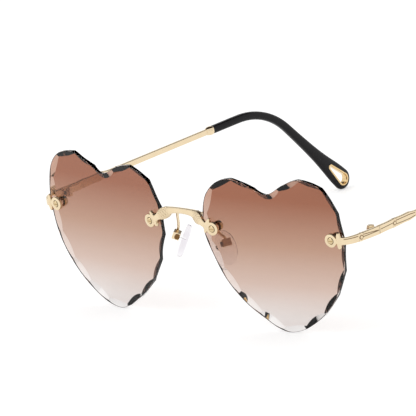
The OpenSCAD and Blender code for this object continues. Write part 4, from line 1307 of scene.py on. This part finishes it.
def dark_card(studio):
    """Dark card overhead, seen only in gloss and through glass, which draws the dark
    edges on the metal and in the facets."""
    way = Vector(studio.card_way).normalized()
    facing = way.to_track_quat("-Z", "Y").to_matrix().to_4x4()
    mix = recipe("card_black")
    black = mix.out("ShaderNodeBsdfDiffuse", {}, {"Color": opaque(studio.card)})
    card = stage_square("dark_card", studio.card_size,
                        Matrix.Translation(way * studio.card_far) @ facing,
                        mix.finish(black))
    for name in ("camera", "diffuse", "shadow", "volume_scatter"):
        setattr(card, "visible_" + name, False)


def seen_straight(mix):
    """1 for rays of the camera, of gloss and of glass, 0 for the rays that light things."""
    rays = mix.node("ShaderNodeLightPath")
    camera, gloss, glass = (Signal(mix, rays.outputs[name]) for name in (
        "Is Camera Ray", "Is Glossy Ray", "Is Transmission Ray"))
    return camera.at_least(gloss).at_least(glass)


def floor_paint(studio):
    """Pale floor that keeps shadows and otherwise shows as the white backdrop."""
    mix = recipe("studio_floor")
    pale = [studio.floor_matt * c for c in studio.backdrop]
    matt = mix.out("ShaderNodeBsdfDiffuse", {}, {"Color": opaque(pale)})
    glow = mix.out("ShaderNodeEmission", {}, {
        "Color": opaque(studio.backdrop), "Strength": seen_straight(mix) * studio.floor_glow})
    return mix.finish(mix.out("ShaderNodeAddShader", {}, {0: matt, 1: glow}))


def set_world(scene, studio):
    """Light from all round: white where it is seen, and dimmer where it lights things."""
    scene.world = bpy.data.worlds.new("studio")
    mix = Recipe(scene.world)
    seen = seen_straight(mix)
    light = mix.out("ShaderNodeBackground", {}, {
        "Color": opaque(studio.backdrop), "Strength": seen + (1 - seen) * studio.fill})
    mix.node("ShaderNodeOutputWorld", {}, {"Surface": light})


def set_camera(scene, studio):
    """Camera whose way of looking comes from azimuth, elevation and roll."""
    sin, cos = math.sin, math.cos
    a, e, roll = studio.azimuth, studio.elevation, studio.roll
    back = Vector((sin(a) * cos(e), -cos(a) * cos(e), sin(e)))
    right = Vector((cos(a), sin(a), 0))
    up = back.cross(right)
    right, up = right * cos(roll) - up * sin(roll), up * cos(roll) + right * sin(roll)
    aim = lens_middle(scene) + right * studio.aim_right + up * studio.aim_up
    data = bpy.data.cameras.new("camera")
    data.lens = studio.focal
    data.sensor_width = 36
    camera = bpy.data.objects.new("camera", data)
    place = Matrix((right, up, back)).transposed().to_4x4()
    place.translation = aim + back * studio.distance
    camera.matrix_world = place
    scene.collection.objects.link(camera)
    scene.camera = camera


OPERATORS = (BuildLenses, BuildBridge, BuildEndpieces, BuildTemples, BuildTips, BuildPads,
             DressHardware, SetStudio)


class SunglassesPanel(bpy.types.Panel):
    """Lists the sizes, the finishes and the steps of the build"""
    bl_idname = "VIEW3D_PT_sunglasses"
    bl_label = "Sunglasses"
    bl_space_type = "VIEW_3D"
    bl_region_type = "UI"
    bl_category = "Sunglasses"

    def draw(self, context):
        for key, group in GROUPS.items():
            box = self.layout.box()
            for name in group.__annotations__:
                box.prop(getattr(context.scene, key), name)
        for step in OPERATORS:
            self.layout.operator(step.bl_idname)


def register():
    for group in (*GROUPS.values(), *OPERATORS, SunglassesPanel):
        bpy.utils.register_class(group)
    for key, group in GROUPS.items():
        setattr(bpy.types.Scene, key, bpy.props.PointerProperty(type=group))


def unregister():
    for key in GROUPS:
        delattr(bpy.types.Scene, key)
    for group in (SunglassesPanel, *OPERATORS, *GROUPS.values()):
        bpy.utils.unregister_class(group)


def main():
    register()
    bpy.ops.glasses.lenses()
    bpy.ops.glasses.bridge()
    bpy.ops.glasses.endpieces()
    bpy.ops.glasses.temples()
    bpy.ops.glasses.tips()
    bpy.ops.glasses.pads()
    bpy.ops.glasses.hardware()
    bpy.ops.glasses.studio()


if __name__ == "__main__":
    main()
